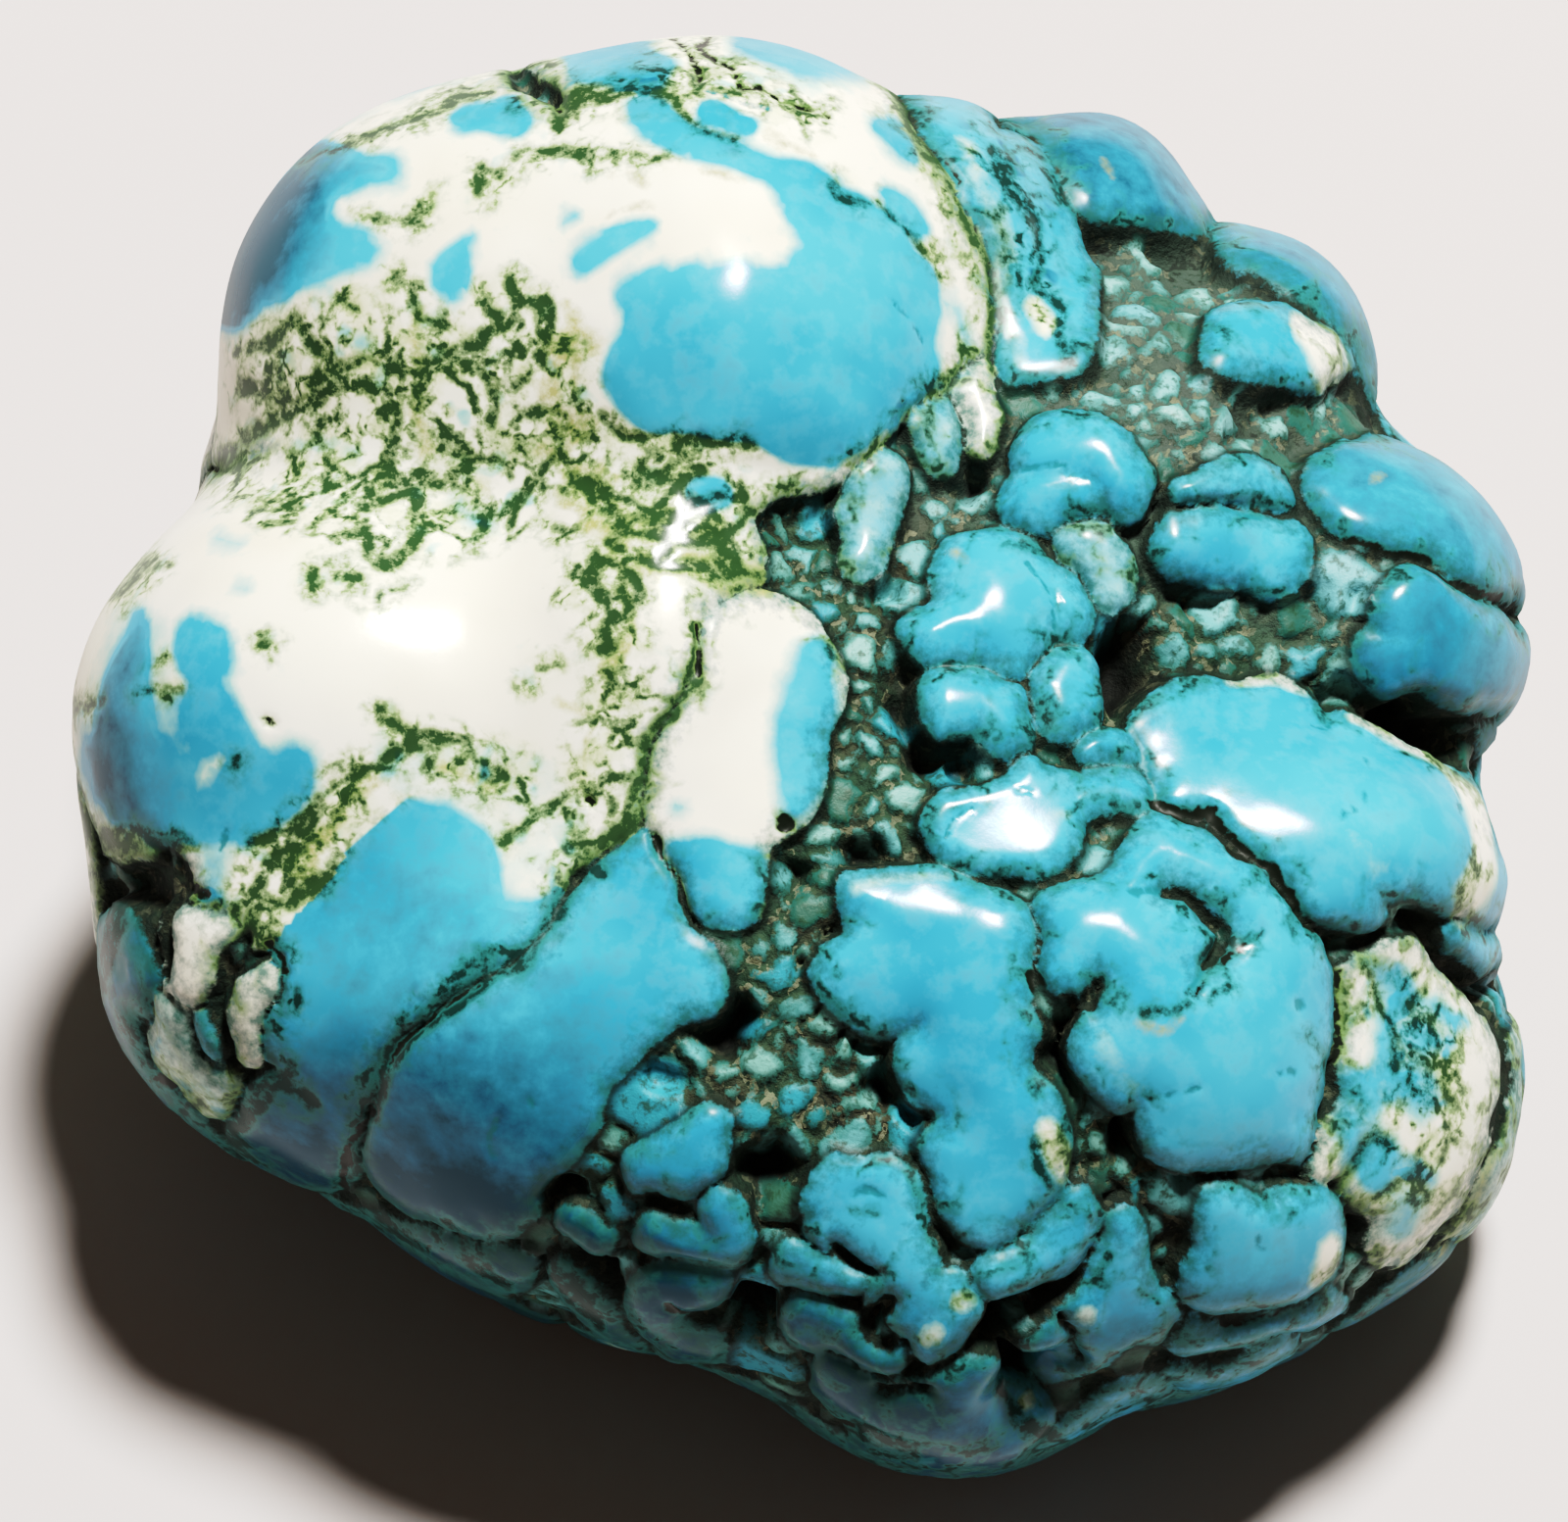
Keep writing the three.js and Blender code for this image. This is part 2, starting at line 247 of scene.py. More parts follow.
# Dark gaps cut into the growths where matrix comes up through them: a run of (u, v, radius).
GAPS = [
    [(-17.2, -5.8, 0.2), (-17.7, -6.6, 0.3), (-17.9, -8, 0.2), (-17.8, -9.6, 0.15)],
    [(-19.6, -3.2, 0.4), (-19.2, -3.9, 0.45), (-19.7, -5, 0.15), (-19.8, -6.9, 0.12)],
    [(-8.8, 22.4, 0.15), (-8.2, 21.6, 0.3), (-7.4, 21.2, 0.15)],
    [(10.1, -7.2, 0.2), (9.8, -7.8, 0.25)],
    [(12.3, -4.1, 0.1), (13, -4.3, 0.16), (13.5, -4.9, 0.2), (13.9, -5.5, 0.2), (13.7, -6.1, 0.18),
     (13.4, -6.5, 0.12)],
    [(17.4, -9.9, 0.14), (17.3, -10.8, 0.26), (17.1, -11.5, 0.18)],
    [(1.8, -15.4, 0.12), (2.3, -15.9, 0.22), (2.9, -16.2, 0.14)],
    [(3.2, -20, 0.1), (4.6, -20.1, 0.1)],
    [(9.4, -18.9, 0.12), (8.9, -17.6, 0.1)],
    [(3.2, -17.2, 0.2), (2.9, -17.9, 0.3), (3.4, -18.5, 0.2)],
]

# Wide swells that lift the crown and the hollow below it: (u, v, radius, rise).
SWELLS = [(-1.4, 12.0, 8.0, 1.4), (-3.6, 4.6, 4.5, 0.35)]

# Places where the matrix has weathered out into a pit: (u, v, radius, depth).
PITS = [
    (4.8, 0.7, 1.0, 1.5), (6.1, 0.1, 0.6, 1.3), (11.3, 3.2, 1.0, 2.2), (13.4, 5.2, 0.9, 0.9),
    (20.4, 1.5, 1.5, 2.6), (21.8, -6.5, 1.1, 2.6), (18.2, -14.7, 0.9, 2.2), (6.6, -18.3, 1.1, 2.4),
    (3.5, -10.6, 0.9, 2.4), (4.6, -11.3, 0.6, 2.0), (-1.9, -8.4, 0.9, 2.0), (-7, -13.9, 0.7, 1.8),
    (-1.3, -17.6, 0.8, 2.0), (8.9, -9.2, 1.0, 1.6), (11.4, -12.4, 0.8, 2.0), (5.9, 9.4, 0.6, 1.3),
    (3.3, 5.7, 0.5, 1.0), (8.5, 19.6, 0.7, 1.4), (-0.6, -13.3, 0.8, 1.8), (0.5, -19.3, 0.5, 1.2),
    (13.2, -19.2, 0.9, 1.2), (2.6, -8.9, 0.7, 1.6), (4.7, -14.4, 0.5, 1.4), (0.4, -3.7, 0.5, 0.9),
    (-4.2, -9.9, 0.8, 1.0), (7.6, -17.3, 0.6, 1.6), (20.2, -5.1, 0.8, 1.0), (15.4, 10.8, 0.9, 0.8),
    (1.8, -5.0, 0.4, 0.8), (8.6, -16.7, 0.6, 1.0), (13, -13.3, 0.6, 1.0), (18.4, 5, 0.5, 0.8),
    (-6.2, -16.5, 0.5, 1.0), (-5.3, -17.2, 0.4, 1.0), (16.8, 5.2, 0.5, 0.6), (4.4, -2.4, 0.4, 0.9),
    (-20.7, -4.3, 0.8, 0.7), (17.4, -6.2, 0.7, 0.3), (1.1, -16.9, 0.3, 0.8), (2.9, -17.9, 0.3, 0.8),
    (9.2, 18.4, 0.8, 1.8), (10.5, 17.7, 0.9, 1.6), (12.4, 16.9, 0.8, 1.4), (9.4, 16.8, 1.2, 0.5),
    (6.2, 3.0, 0.5, 1.2), (17.6, 2.2, 0.9, 1.2), (2.4, -3.3, 0.7, 1.2), (4.0, 1.6, 0.7, 1.4),
    (10.8, 16.3, 1.2, 0.6), (12.8, 16, 1.2, 0.5), (14, 15, 1, 0.4),
    (12, 12.4, 1.6, 0.4), (10.4, 13.2, 1.4, 0.5), (16.4, 10, 1.2, 0.4), (12, 7.9, 0.7, 0.5),
    (4, 2.6, 0.9, 0.7), (2, 7.2, 0.7, 0.5), (1.2, -6.2, 0.6, 0.5), (17, 4.6, 0.8, 0.5),
]

# Patches of colour inside the growths, level with the polish: tint, softness of the border and shape.
PATCHES = [
    (BLUE, 0.3, "edge", [
        (-5.3, 15), (-5.1, 14), (-5.3, 12.9), (-5.3, 12), (-4.8, 11), (-4, 10.4), (-1.5, 10.2),
        (0, 9.3), (1.5, 9.3), (3, 10.4), (4.6, 11.8), (4.9, 12.6), (4.7, 13.5), (5, 14.5), (4.9, 15.5),
        (4.3, 16.2), (2.4, 18), (1, 19), (0, 19.35), (-1.4, 19.75), (-2.9, 20.5), (-3.5, 21.1),
        (-4.2, 21.3), (-4.9, 20.9), (-4.8, 20.1), (-4.3, 19.6), (-3, 19.15), (-1.1, 18.5),
        (-0.1, 17.2), (0.2, 16.4), (-0.6, 15.6), (-2.6, 15.6), (-4.2, 15.7), (-5.1, 15.4)]),
    (BLUE, 0.5, "run", [(-17.6, 14.9, 1.1), (-16.4, 16.2, 1.5), (-14.4, 18.5, 1.0)]),
    (BLUE, 0.5, "run", [(-15.8, 16, 1.3), (-13.7, 16.1, 0.8)]),
    (BLUE, 0.4, "run", [(-14.5, 18.9, 0.8), (-12.6, 18.7, 0.45)]),
    (WHITE, 0.3, "run", [(-13.9, 17.4, 0.3), (-13.3, 17.4, 0.3)]),
    (BLUE, 0.3, "run", [(-16.8, 19.7, 0.7), (-14.8, 20.7, 0.8), (-12.6, 21.8, 0.8), (-10.4, 22.4, 0.7)]),
    (BLUE, 0.3, "run", [(-10.2, 20.3, 0.55), (-9.2, 20.4, 0.65), (-8.6, 20.3, 0.6)]),
    (BLUE, 0.3, "run", [(-6.6, 22, 0.55), (-5.3, 22.15, 0.75), (-4, 22, 0.6)]),
    (BLUE, 0.2, "run", [(-2.2, 20.6, 0.45), (-1.2, 20.2, 0.4)]),
    (BLUE, 0.6, "run", [(-1.2, 22.9, 0.45), (0, 22.6, 0.7), (1.2, 22.2, 0.6), (2.3, 21.8, 0.35)]),
    (BLUE, 0.25, "run", [(-6.3, 15.8, 0.5), (-5.3, 16.6, 0.48), (-4.6, 16.8, 0.4)]),
    (BLUE, 0.25, "run", [(-6.8, 17.2, 0.28)]),
    (BLUE, 0.25, "run", [(-10.5, 15.5, 0.7), (-10.2, 16.2, 0.45), (-9.9, 16.6, 0.2)]),
    (PALE, 0.4, "run", [(-13.3, 13.3, 0.4)]),
    (BLUE, 0.3, "run", [(2.9, 20, 0.35), (3.6, 19.5, 0.5), (4.1, 19.1, 0.3)]),
    (BLUE, 0.3, "run", [(3, 18.1, 0.25), (3.6, 17.5, 0.5), (4.3, 16.8, 0.35)]),
    (PALE, 0.4, "run", [(5.3, 14.6, 0.3), (5.8, 13.4, 0.35)]),
    (PALE, 0.4, "run", [(5.6, 12.3, 0.3), (5.3, 11.8, 0.3)]),
    (WHITE, 0.3, "run", [(7.9, 14.5, 0.25), (8.3, 13.9, 0.35)]),
    (PALE, 0.5, "run", [(5.9, 18.3, 0.3), (6.6, 17.3, 0.35), (7.1, 15.6, 0.3)]),
    (MILKY, 0.4, "run", [(5.6, 19.4, 0.2), (6.1, 18.5, 0.2)]),
    (WHITE, 0.3, "run", [(16.5, 13.9, 0.4), (17.1, 12.9, 0.7), (17.4, 12.1, 0.5)]),
    (PALE, 0.3, "run", [(6.9, 17.2, 0.2), (7, 15.8, 0.25), (7.1, 14, 0.3), (7.6, 12.9, 0.3)]),
    # left dome
    (BLUE, 0.35, "run", [(-18.4, 3.7, 1.1), (-18.3, 3.3, 1.0)]),
    (BLUE, 0.35, "run", [(-18.3, 1.5, 1.15), (-17.8, 0.4, 1.1), (-17.2, -0.6, 1.0)]),
    (BLUE, 0.6, "run", [(-20.6, 4.6, 0.4), (-20.7, 2.4, 1.0), (-20.6, 0, 1.5), (-19.8, -1.8, 1.2)]),
    (BLUE, 0.5, "run", [(-20, -0.6, 1.1), (-18, -1.4, 1.3), (-16.3, -1, 1.2), (-15.6, 0, 0.7)]),
    (MILKY, 0.3, "run", [(-18.3, -0.5, 0.35), (-18, 0, 0.2)]),
    (MILKY, 0.4, "run", [(-19.9, 4.4, 0.2), (-19.7, 1.2, 0.2)]),
    (PALE, 0.4, "run", [(-17.9, -3.2, 0.5), (-18.1, -4.1, 0.4)]),
    (PALE, 0.3, "run", [(-17.9, 7.1, 0.25), (-17.3, 6.8, 0.2)]),
    (PALE, 0.3, "run", [(-17.1, 5.6, 0.25)]),
    (PALE, 0.3, "run", [(-13.8, 10, 0.25)]),
    (PALE, 0.4, "run", [(-10.5, 8.1, 0.3), (-9.6, 7.6, 0.35)]),
    (PALE, 0.3, "run", [(-7.6, -0.6, 0.3)]),
    (BLUE, 0.25, "run", [(-2.7, 8.15, 0.68)]),
    (BLUE, 0.5, "run", [(0.9, 3, 0.75), (0.7, 1.2, 0.95), (0.6, -0.4, 0.9), (0.3, -1.6, 0.45)]),
    (BLUE, 0.35, "edge", [
        (-3.7, -2.6), (-3, -2.25), (-2.3, -2.2), (-1.6, -2.5), (-0.6, -2.9), (-0.4, -4.2),
        (-1, -5.6), (-2.6, -5.4), (-3.2, -4)]),
    (PALE, 0.3, "run", [(-3.2, -1.5, 0.28)]),
    # lobes under the left dome
    (0.22, 0.4, "edge", [
        (-12.6, 0.3), (-12.5, -0.7), (-11.5, -1.3), (-10.6, -1.6), (-10, -2), (-9.4, -2.4),
        (-9, -3), (-9, -4.3), (-8.4, -4.5), (-7.6, -4.3), (-7, -3.6), (-6, -2), (-8, 0.5)]),
    (PALE, 0.9, "run", [(-15.4, -7.9, 0.3)]),
    # bar, right dome and front dome
    (WHITE, 0.3, "run", [(14.2, 2.55, 0.3), (15.6, 2.75, 0.35), (16.6, 2.5, 0.3)]),
    (WHITE, 0.3, "run", [(18.3, 1.35, 0.3), (19.4, 0.75, 0.35), (20.7, 0, 0.3)]),
    (WHITE, 0.35, "run", [
        (21, -0.5, 0.2), (21.7, -1.6, 0.4), (22, -2.8, 0.45), (21.8, -4, 0.5), (21.6, -4.8, 0.4)]),
    (PALE, 1.2, "run", [(10.2, -8.6, 0.3), (10.4, -9.6, 0.5), (10.9, -10.4, 0.4)]),
    (PALE, 1.2, "run", [(-9, -5.9, 0.2), (-8, -5.4, 0.2)]),
    (PALE, 1.4, "run", [(8.2, -1.9, 0.3), (8.9, -1.8, 0.3)]),
    (PALE, 1.2, "run", [(17.9, -2.9, 0.3), (18.6, -3.3, 0.3)]),
    (PALE, 0.9, "run", [(17.2, -9, 0.3), (16.9, -8.7, 0.2)]),
    (WHITE, 0.4, "run", [(8.2, -11.5, 0.35), (8.5, -12.4, 0.4), (8.7, -13.1, 0.3)]),
    (MILKY, 0.4, "run", [(2.2, -4.1, 0.2), (3.4, -3.9, 0.12), (5, -3.9, 0.12)]),
    # heel
    (PALE, 0.5, "run", [(18.6, -6.9, 0.7), (19.4, -8.4, 1.2), (19, -10.6, 1.3), (18.8, -12.6, 1)]),
    (0.8, 0.3, "run", [(19.3, -6.9, 0.4), (19.7, -7.7, 0.5)]),
    (0.8, 0.4, "run", [(19.8, -8.9, 0.5), (20.8, -9, 0.35)]),
    (0.8, 0.4, "run", [(19, -9.1, 0.4), (18.9, -9.8, 0.45)]),
    (0.8, 0.4, "run", [(17.8, -10.6, 0.6), (18.9, -10.4, 0.75), (20.2, -10.5, 0.65)]),
    (0.8, 0.4, "run", [(17.8, -11.6, 0.5), (18, -12.6, 0.4)]),
    (WHITE, 0.4, "run", [(18, -7.1, 0.4), (18.1, -7.8, 0.35)]),
    (WHITE, 0.4, "run", [(18.3, -8.8, 0.3), (18.2, -9.6, 0.3)]),
    (WHITE, 0.4, "run", [(19.3, -11.3, 0.35), (19.9, -11.8, 0.4)]),
    (BLUE, 0.4, "run", [(18.9, -12.5, 0.5), (18.8, -13.2, 0.45)]),
    (0.8, 0.3, "run", [(20.7, -7.8, 0.35), (21.2, -8.4, 0.35)]),
    (0.8, 0.3, "run", [(19.9, -12.6, 0.4), (20.4, -13.2, 0.3)]),
    (PALE, 0.5, "run", [(19.8, -13.9, 0.5), (19.4, -14.7, 0.45)]),
    (BLUE, 0.4, "run", [(24.2, -9.8, 0.6), (24.4, -10.8, 0.5)]),
    # low front
    (WHITE, 0.35, "run", [(17.2, -15.3, 0.45), (16.9, -16.2, 0.45)]),
    (MILKY, 0.4, "run", [(5.8, -17.3, 0.45)]),
    (MILKY, 0.4, "run", [(4.9, -18.3, 0.5)]),
    (MILKY, 0.4, "run", [(7.6, -20.4, 0.5)]),
    (MILKY, 0.4, "run", [(9.6, -17.6, 0.4)]),
]

# Painted shade: darker turquoise over the flanks, the lobes and the low rim, where the light falls off:
# tint, softness of the border and a run of (u, v, radius). The white stays as it is, and so does what is
# darker already.
PAINTED_SHADES = [
    (1.7, 1.8, [(-19.6, 13, 1.6), (-18.2, 16.4, 2.4), (-16, 19.2, 1.7)]),
    (1.4, 0.8, [(-16.6, 19.6, 0.8), (-14.4, 21, 1.0), (-12.4, 22, 1.0), (-10.4, 22.6, 0.9)]),
    (1.6, 2.0, [(-20.8, 7.5, 0.6), (-22, 4.4, 1.2), (-22.6, 1.2, 1.6), (-22.2, -1.6, 1.7), (-21, -4, 1.2)]),
    (1.8, 3.0, [(-20.5, -9.5, 1.6), (-17.6, -12.4, 1.8), (-14.5, -14.2, 2.4), (-11, -15.2, 2.6),
                (-7.5, -15.6, 2.2), (-3.5, -18.4, 1.8), (0.5, -20, 1.6), (4, -22.4, 1.6)]),
    (1.17, 2.4, [(-13.4, -4.6, 2.4), (-9, -8, 3.0), (-7, -11, 2.0)]),
    (1.35, 2.0, [(-13.5, -10, 1.4), (-9, -11, 1.6), (-7.5, -13, 1.4)]),
    (1.3, 2.0, [(-3, -16, 1.0), (2, -18, 1.4), (6, -19.6, 1.6), (11, -18.6, 1.2), (15, -17, 0.8)]),
]

# Loose pebbles of stone set in the matrix: (u, v, radius, tint).
PEBBLES = [
    (-6.5, 20.9, 0.3, WHITE), (11.4, 15.1, 0.5, PALE), (12.8, 14.5, 0.5, MILKY),
    (12, 13.7, 0.45, PALE), (10.9, 13.2, 0.4, PALE), (10.2, 12.5, 0.32, MILKY),
    (14.3, 14.4, 0.35, PALE), (13, 12.6, 0.32, PALE), (11.3, 16.1, 0.32, PALE),
    (8.1, 12, 0.35, MILKY), (11.8, 9.8, 0.5, PALE), (12.7, 9.7, 0.32, MILKY),
    (13.8, 10, 0.5, PALE), (14.7, 9.5, 0.4, PALE), (11.9, 10.8, 0.5, MILKY),
    (13.4, 11.4, 0.6, PALE), (16.7, 10.8, 0.5, WHITE), (17.7, 10.7, 0.48, WHITE),
    (9.3, 11.4, 0.4, PALE), (10.6, 11.4, 0.35, MILKY), (8, 11, 0.3, PALE),
    (4.9, 8, 0.45, PALE), (4.3, 8.8, 0.32, MILKY), (3.4, 9.9, 0.3, PALE),
    (7, 8.9, 0.42, PALE), (6.6, 7.8, 0.3, MILKY), (5.6, 7.7, 0.3, PALE),
    (0.6, 6.6, 0.6, PALE), (0.2, 5.6, 0.45, MILKY), (1.4, 5.6, 0.4, PALE),
    (2.2, 5.3, 0.35, MILKY), (-0.3, 7.4, 0.35, MILKY), (0.5, 7.9, 0.35, PALE),
    (2.9, 4.5, 0.42, PALE), (1.9, 4.4, 0.35, MILKY), (3.2, 3.4, 0.4, PALE),
    (2.5, 2.6, 0.45, MILKY), (2.7, 1.6, 0.4, PALE), (1.9, 0.7, 0.42, MILKY),
    (3.3, 0.6, 0.3, PALE), (11.6, 4.9, 0.5, PALE), (12.4, 4.3, 0.4, MILKY),
    (17.4, 4.2, 0.5, PALE), (18, 2.9, 0.75, MILKY), (15.7, 3.5, 0.55, MILKY),
    (14.4, 3.6, 0.5, PALE), (13.5, 3.5, 0.45, PALE), (17, 2.3, 0.3, PALE),
    (16.9, 6.6, 0.32, PALE), (1.9, -0.5, 0.4, MILKY), (3.1, -0.5, 0.48, MILKY),
    (2.8, -1.7, 0.5, PALE), (3.3, -2.4, 0.45, PALE), (2.5, -2.6, 0.42, MILKY),
    (1.5, -3.1, 0.42, PALE), (1.4, -4, 0.48, WHITE), (4.2, -0.6, 0.3, MILKY),
    (0.1, -4.4, 0.28, MILKY), (-0.2, -3.1, 0.3, MILKY), (0.1, -5.4, 0.5, PALE),
    (-0.8, -5.9, 0.4, PALE), (-0.6, -7.5, 0.55, PALE), (0.3, -7.5, 0.5, PALE),
    (-1.9, -7.1, 0.28, WHITE), (-2.1, -9.6, 0.35, MILKY), (-1.6, -10.4, 0.36, MILKY),
    (-3.1, -10.3, 0.4, PALE), (-3.8, -9.1, 0.34, PALE), (-4.4, -9.5, 0.3, PALE),
    (-1.2, -12, 0.42, PALE), (-0.3, -9.1, 0.38, MILKY), (0.4, -8.8, 0.36, MILKY),
    (1.8, -9.4, 0.55, MILKY), (2.5, -10, 0.5, PALE), (0.5, -10.8, 0.7, BLUE),
    (1.1, -11.5, 0.6, BLUE), (0.4, -12.3, 0.6, PALE), (3.3, -11.9, 0.45, MILKY),
    (2.6, -12.6, 0.3, PALE), (-6.4, -13.3, 0.3, MILKY), (-6.1, -14, 0.32, PALE),
    (-0.8, -14.4, 0.24, WHITE), (0, -15.2, 0.5, PALE), (-0.5, -18.1, 0.5, PALE),
    (9.2, -12.3, 0.4, MILKY), (10.2, -12.2, 0.42, MILKY), (10.9, -13.3, 0.45, MILKY),
    (9.4, -13.1, 0.28, PALE), (11.7, -14.8, 0.5, PALE), (7.8, -18.1, 0.4, PALE),
    (7.9, -18.8, 0.36, PALE), (5.7, -15.9, 0.36, PALE), (12.1, -15.8, 0.36, PALE),
    (12.2, -16.6, 0.3, MILKY), (6, -3.9, 0.24, MILKY), (10.3, -2.2, 0.24, WHITE),
    (18.7, -15.9, 0.4, MILKY), (19.3, -5.5, 0.2, WHITE), (-15.8, -3.3, 0.35, PALE),
    (-14.8, -2.7, 0.35, PALE), (1.2, -5.7, 0.2, MILKY), (10.6, 16.3, 0.3, PALE),
]

# Sizes of the pebbles strewn between those, largest first, the share of them that stays in the matrix,
# and the tints each size comes in; a tint below 0 is a pebble of green or brown host.
PEBBLE_SIZES = [
    (1.05, 1.0, [BLUE, BLUE, PALE]),
    (0.8, 1.0, [BLUE, BLUE, PALE, MILKY]),
    (0.6, 0.8, [BLUE, PALE, PALE, MILKY, -0.2]),
    (0.42, 0.4, [BLUE, PALE, MILKY, -0.2, -0.4]),
    (0.28, 0.25, [PALE, MILKY, -0.3, -0.5]),
]

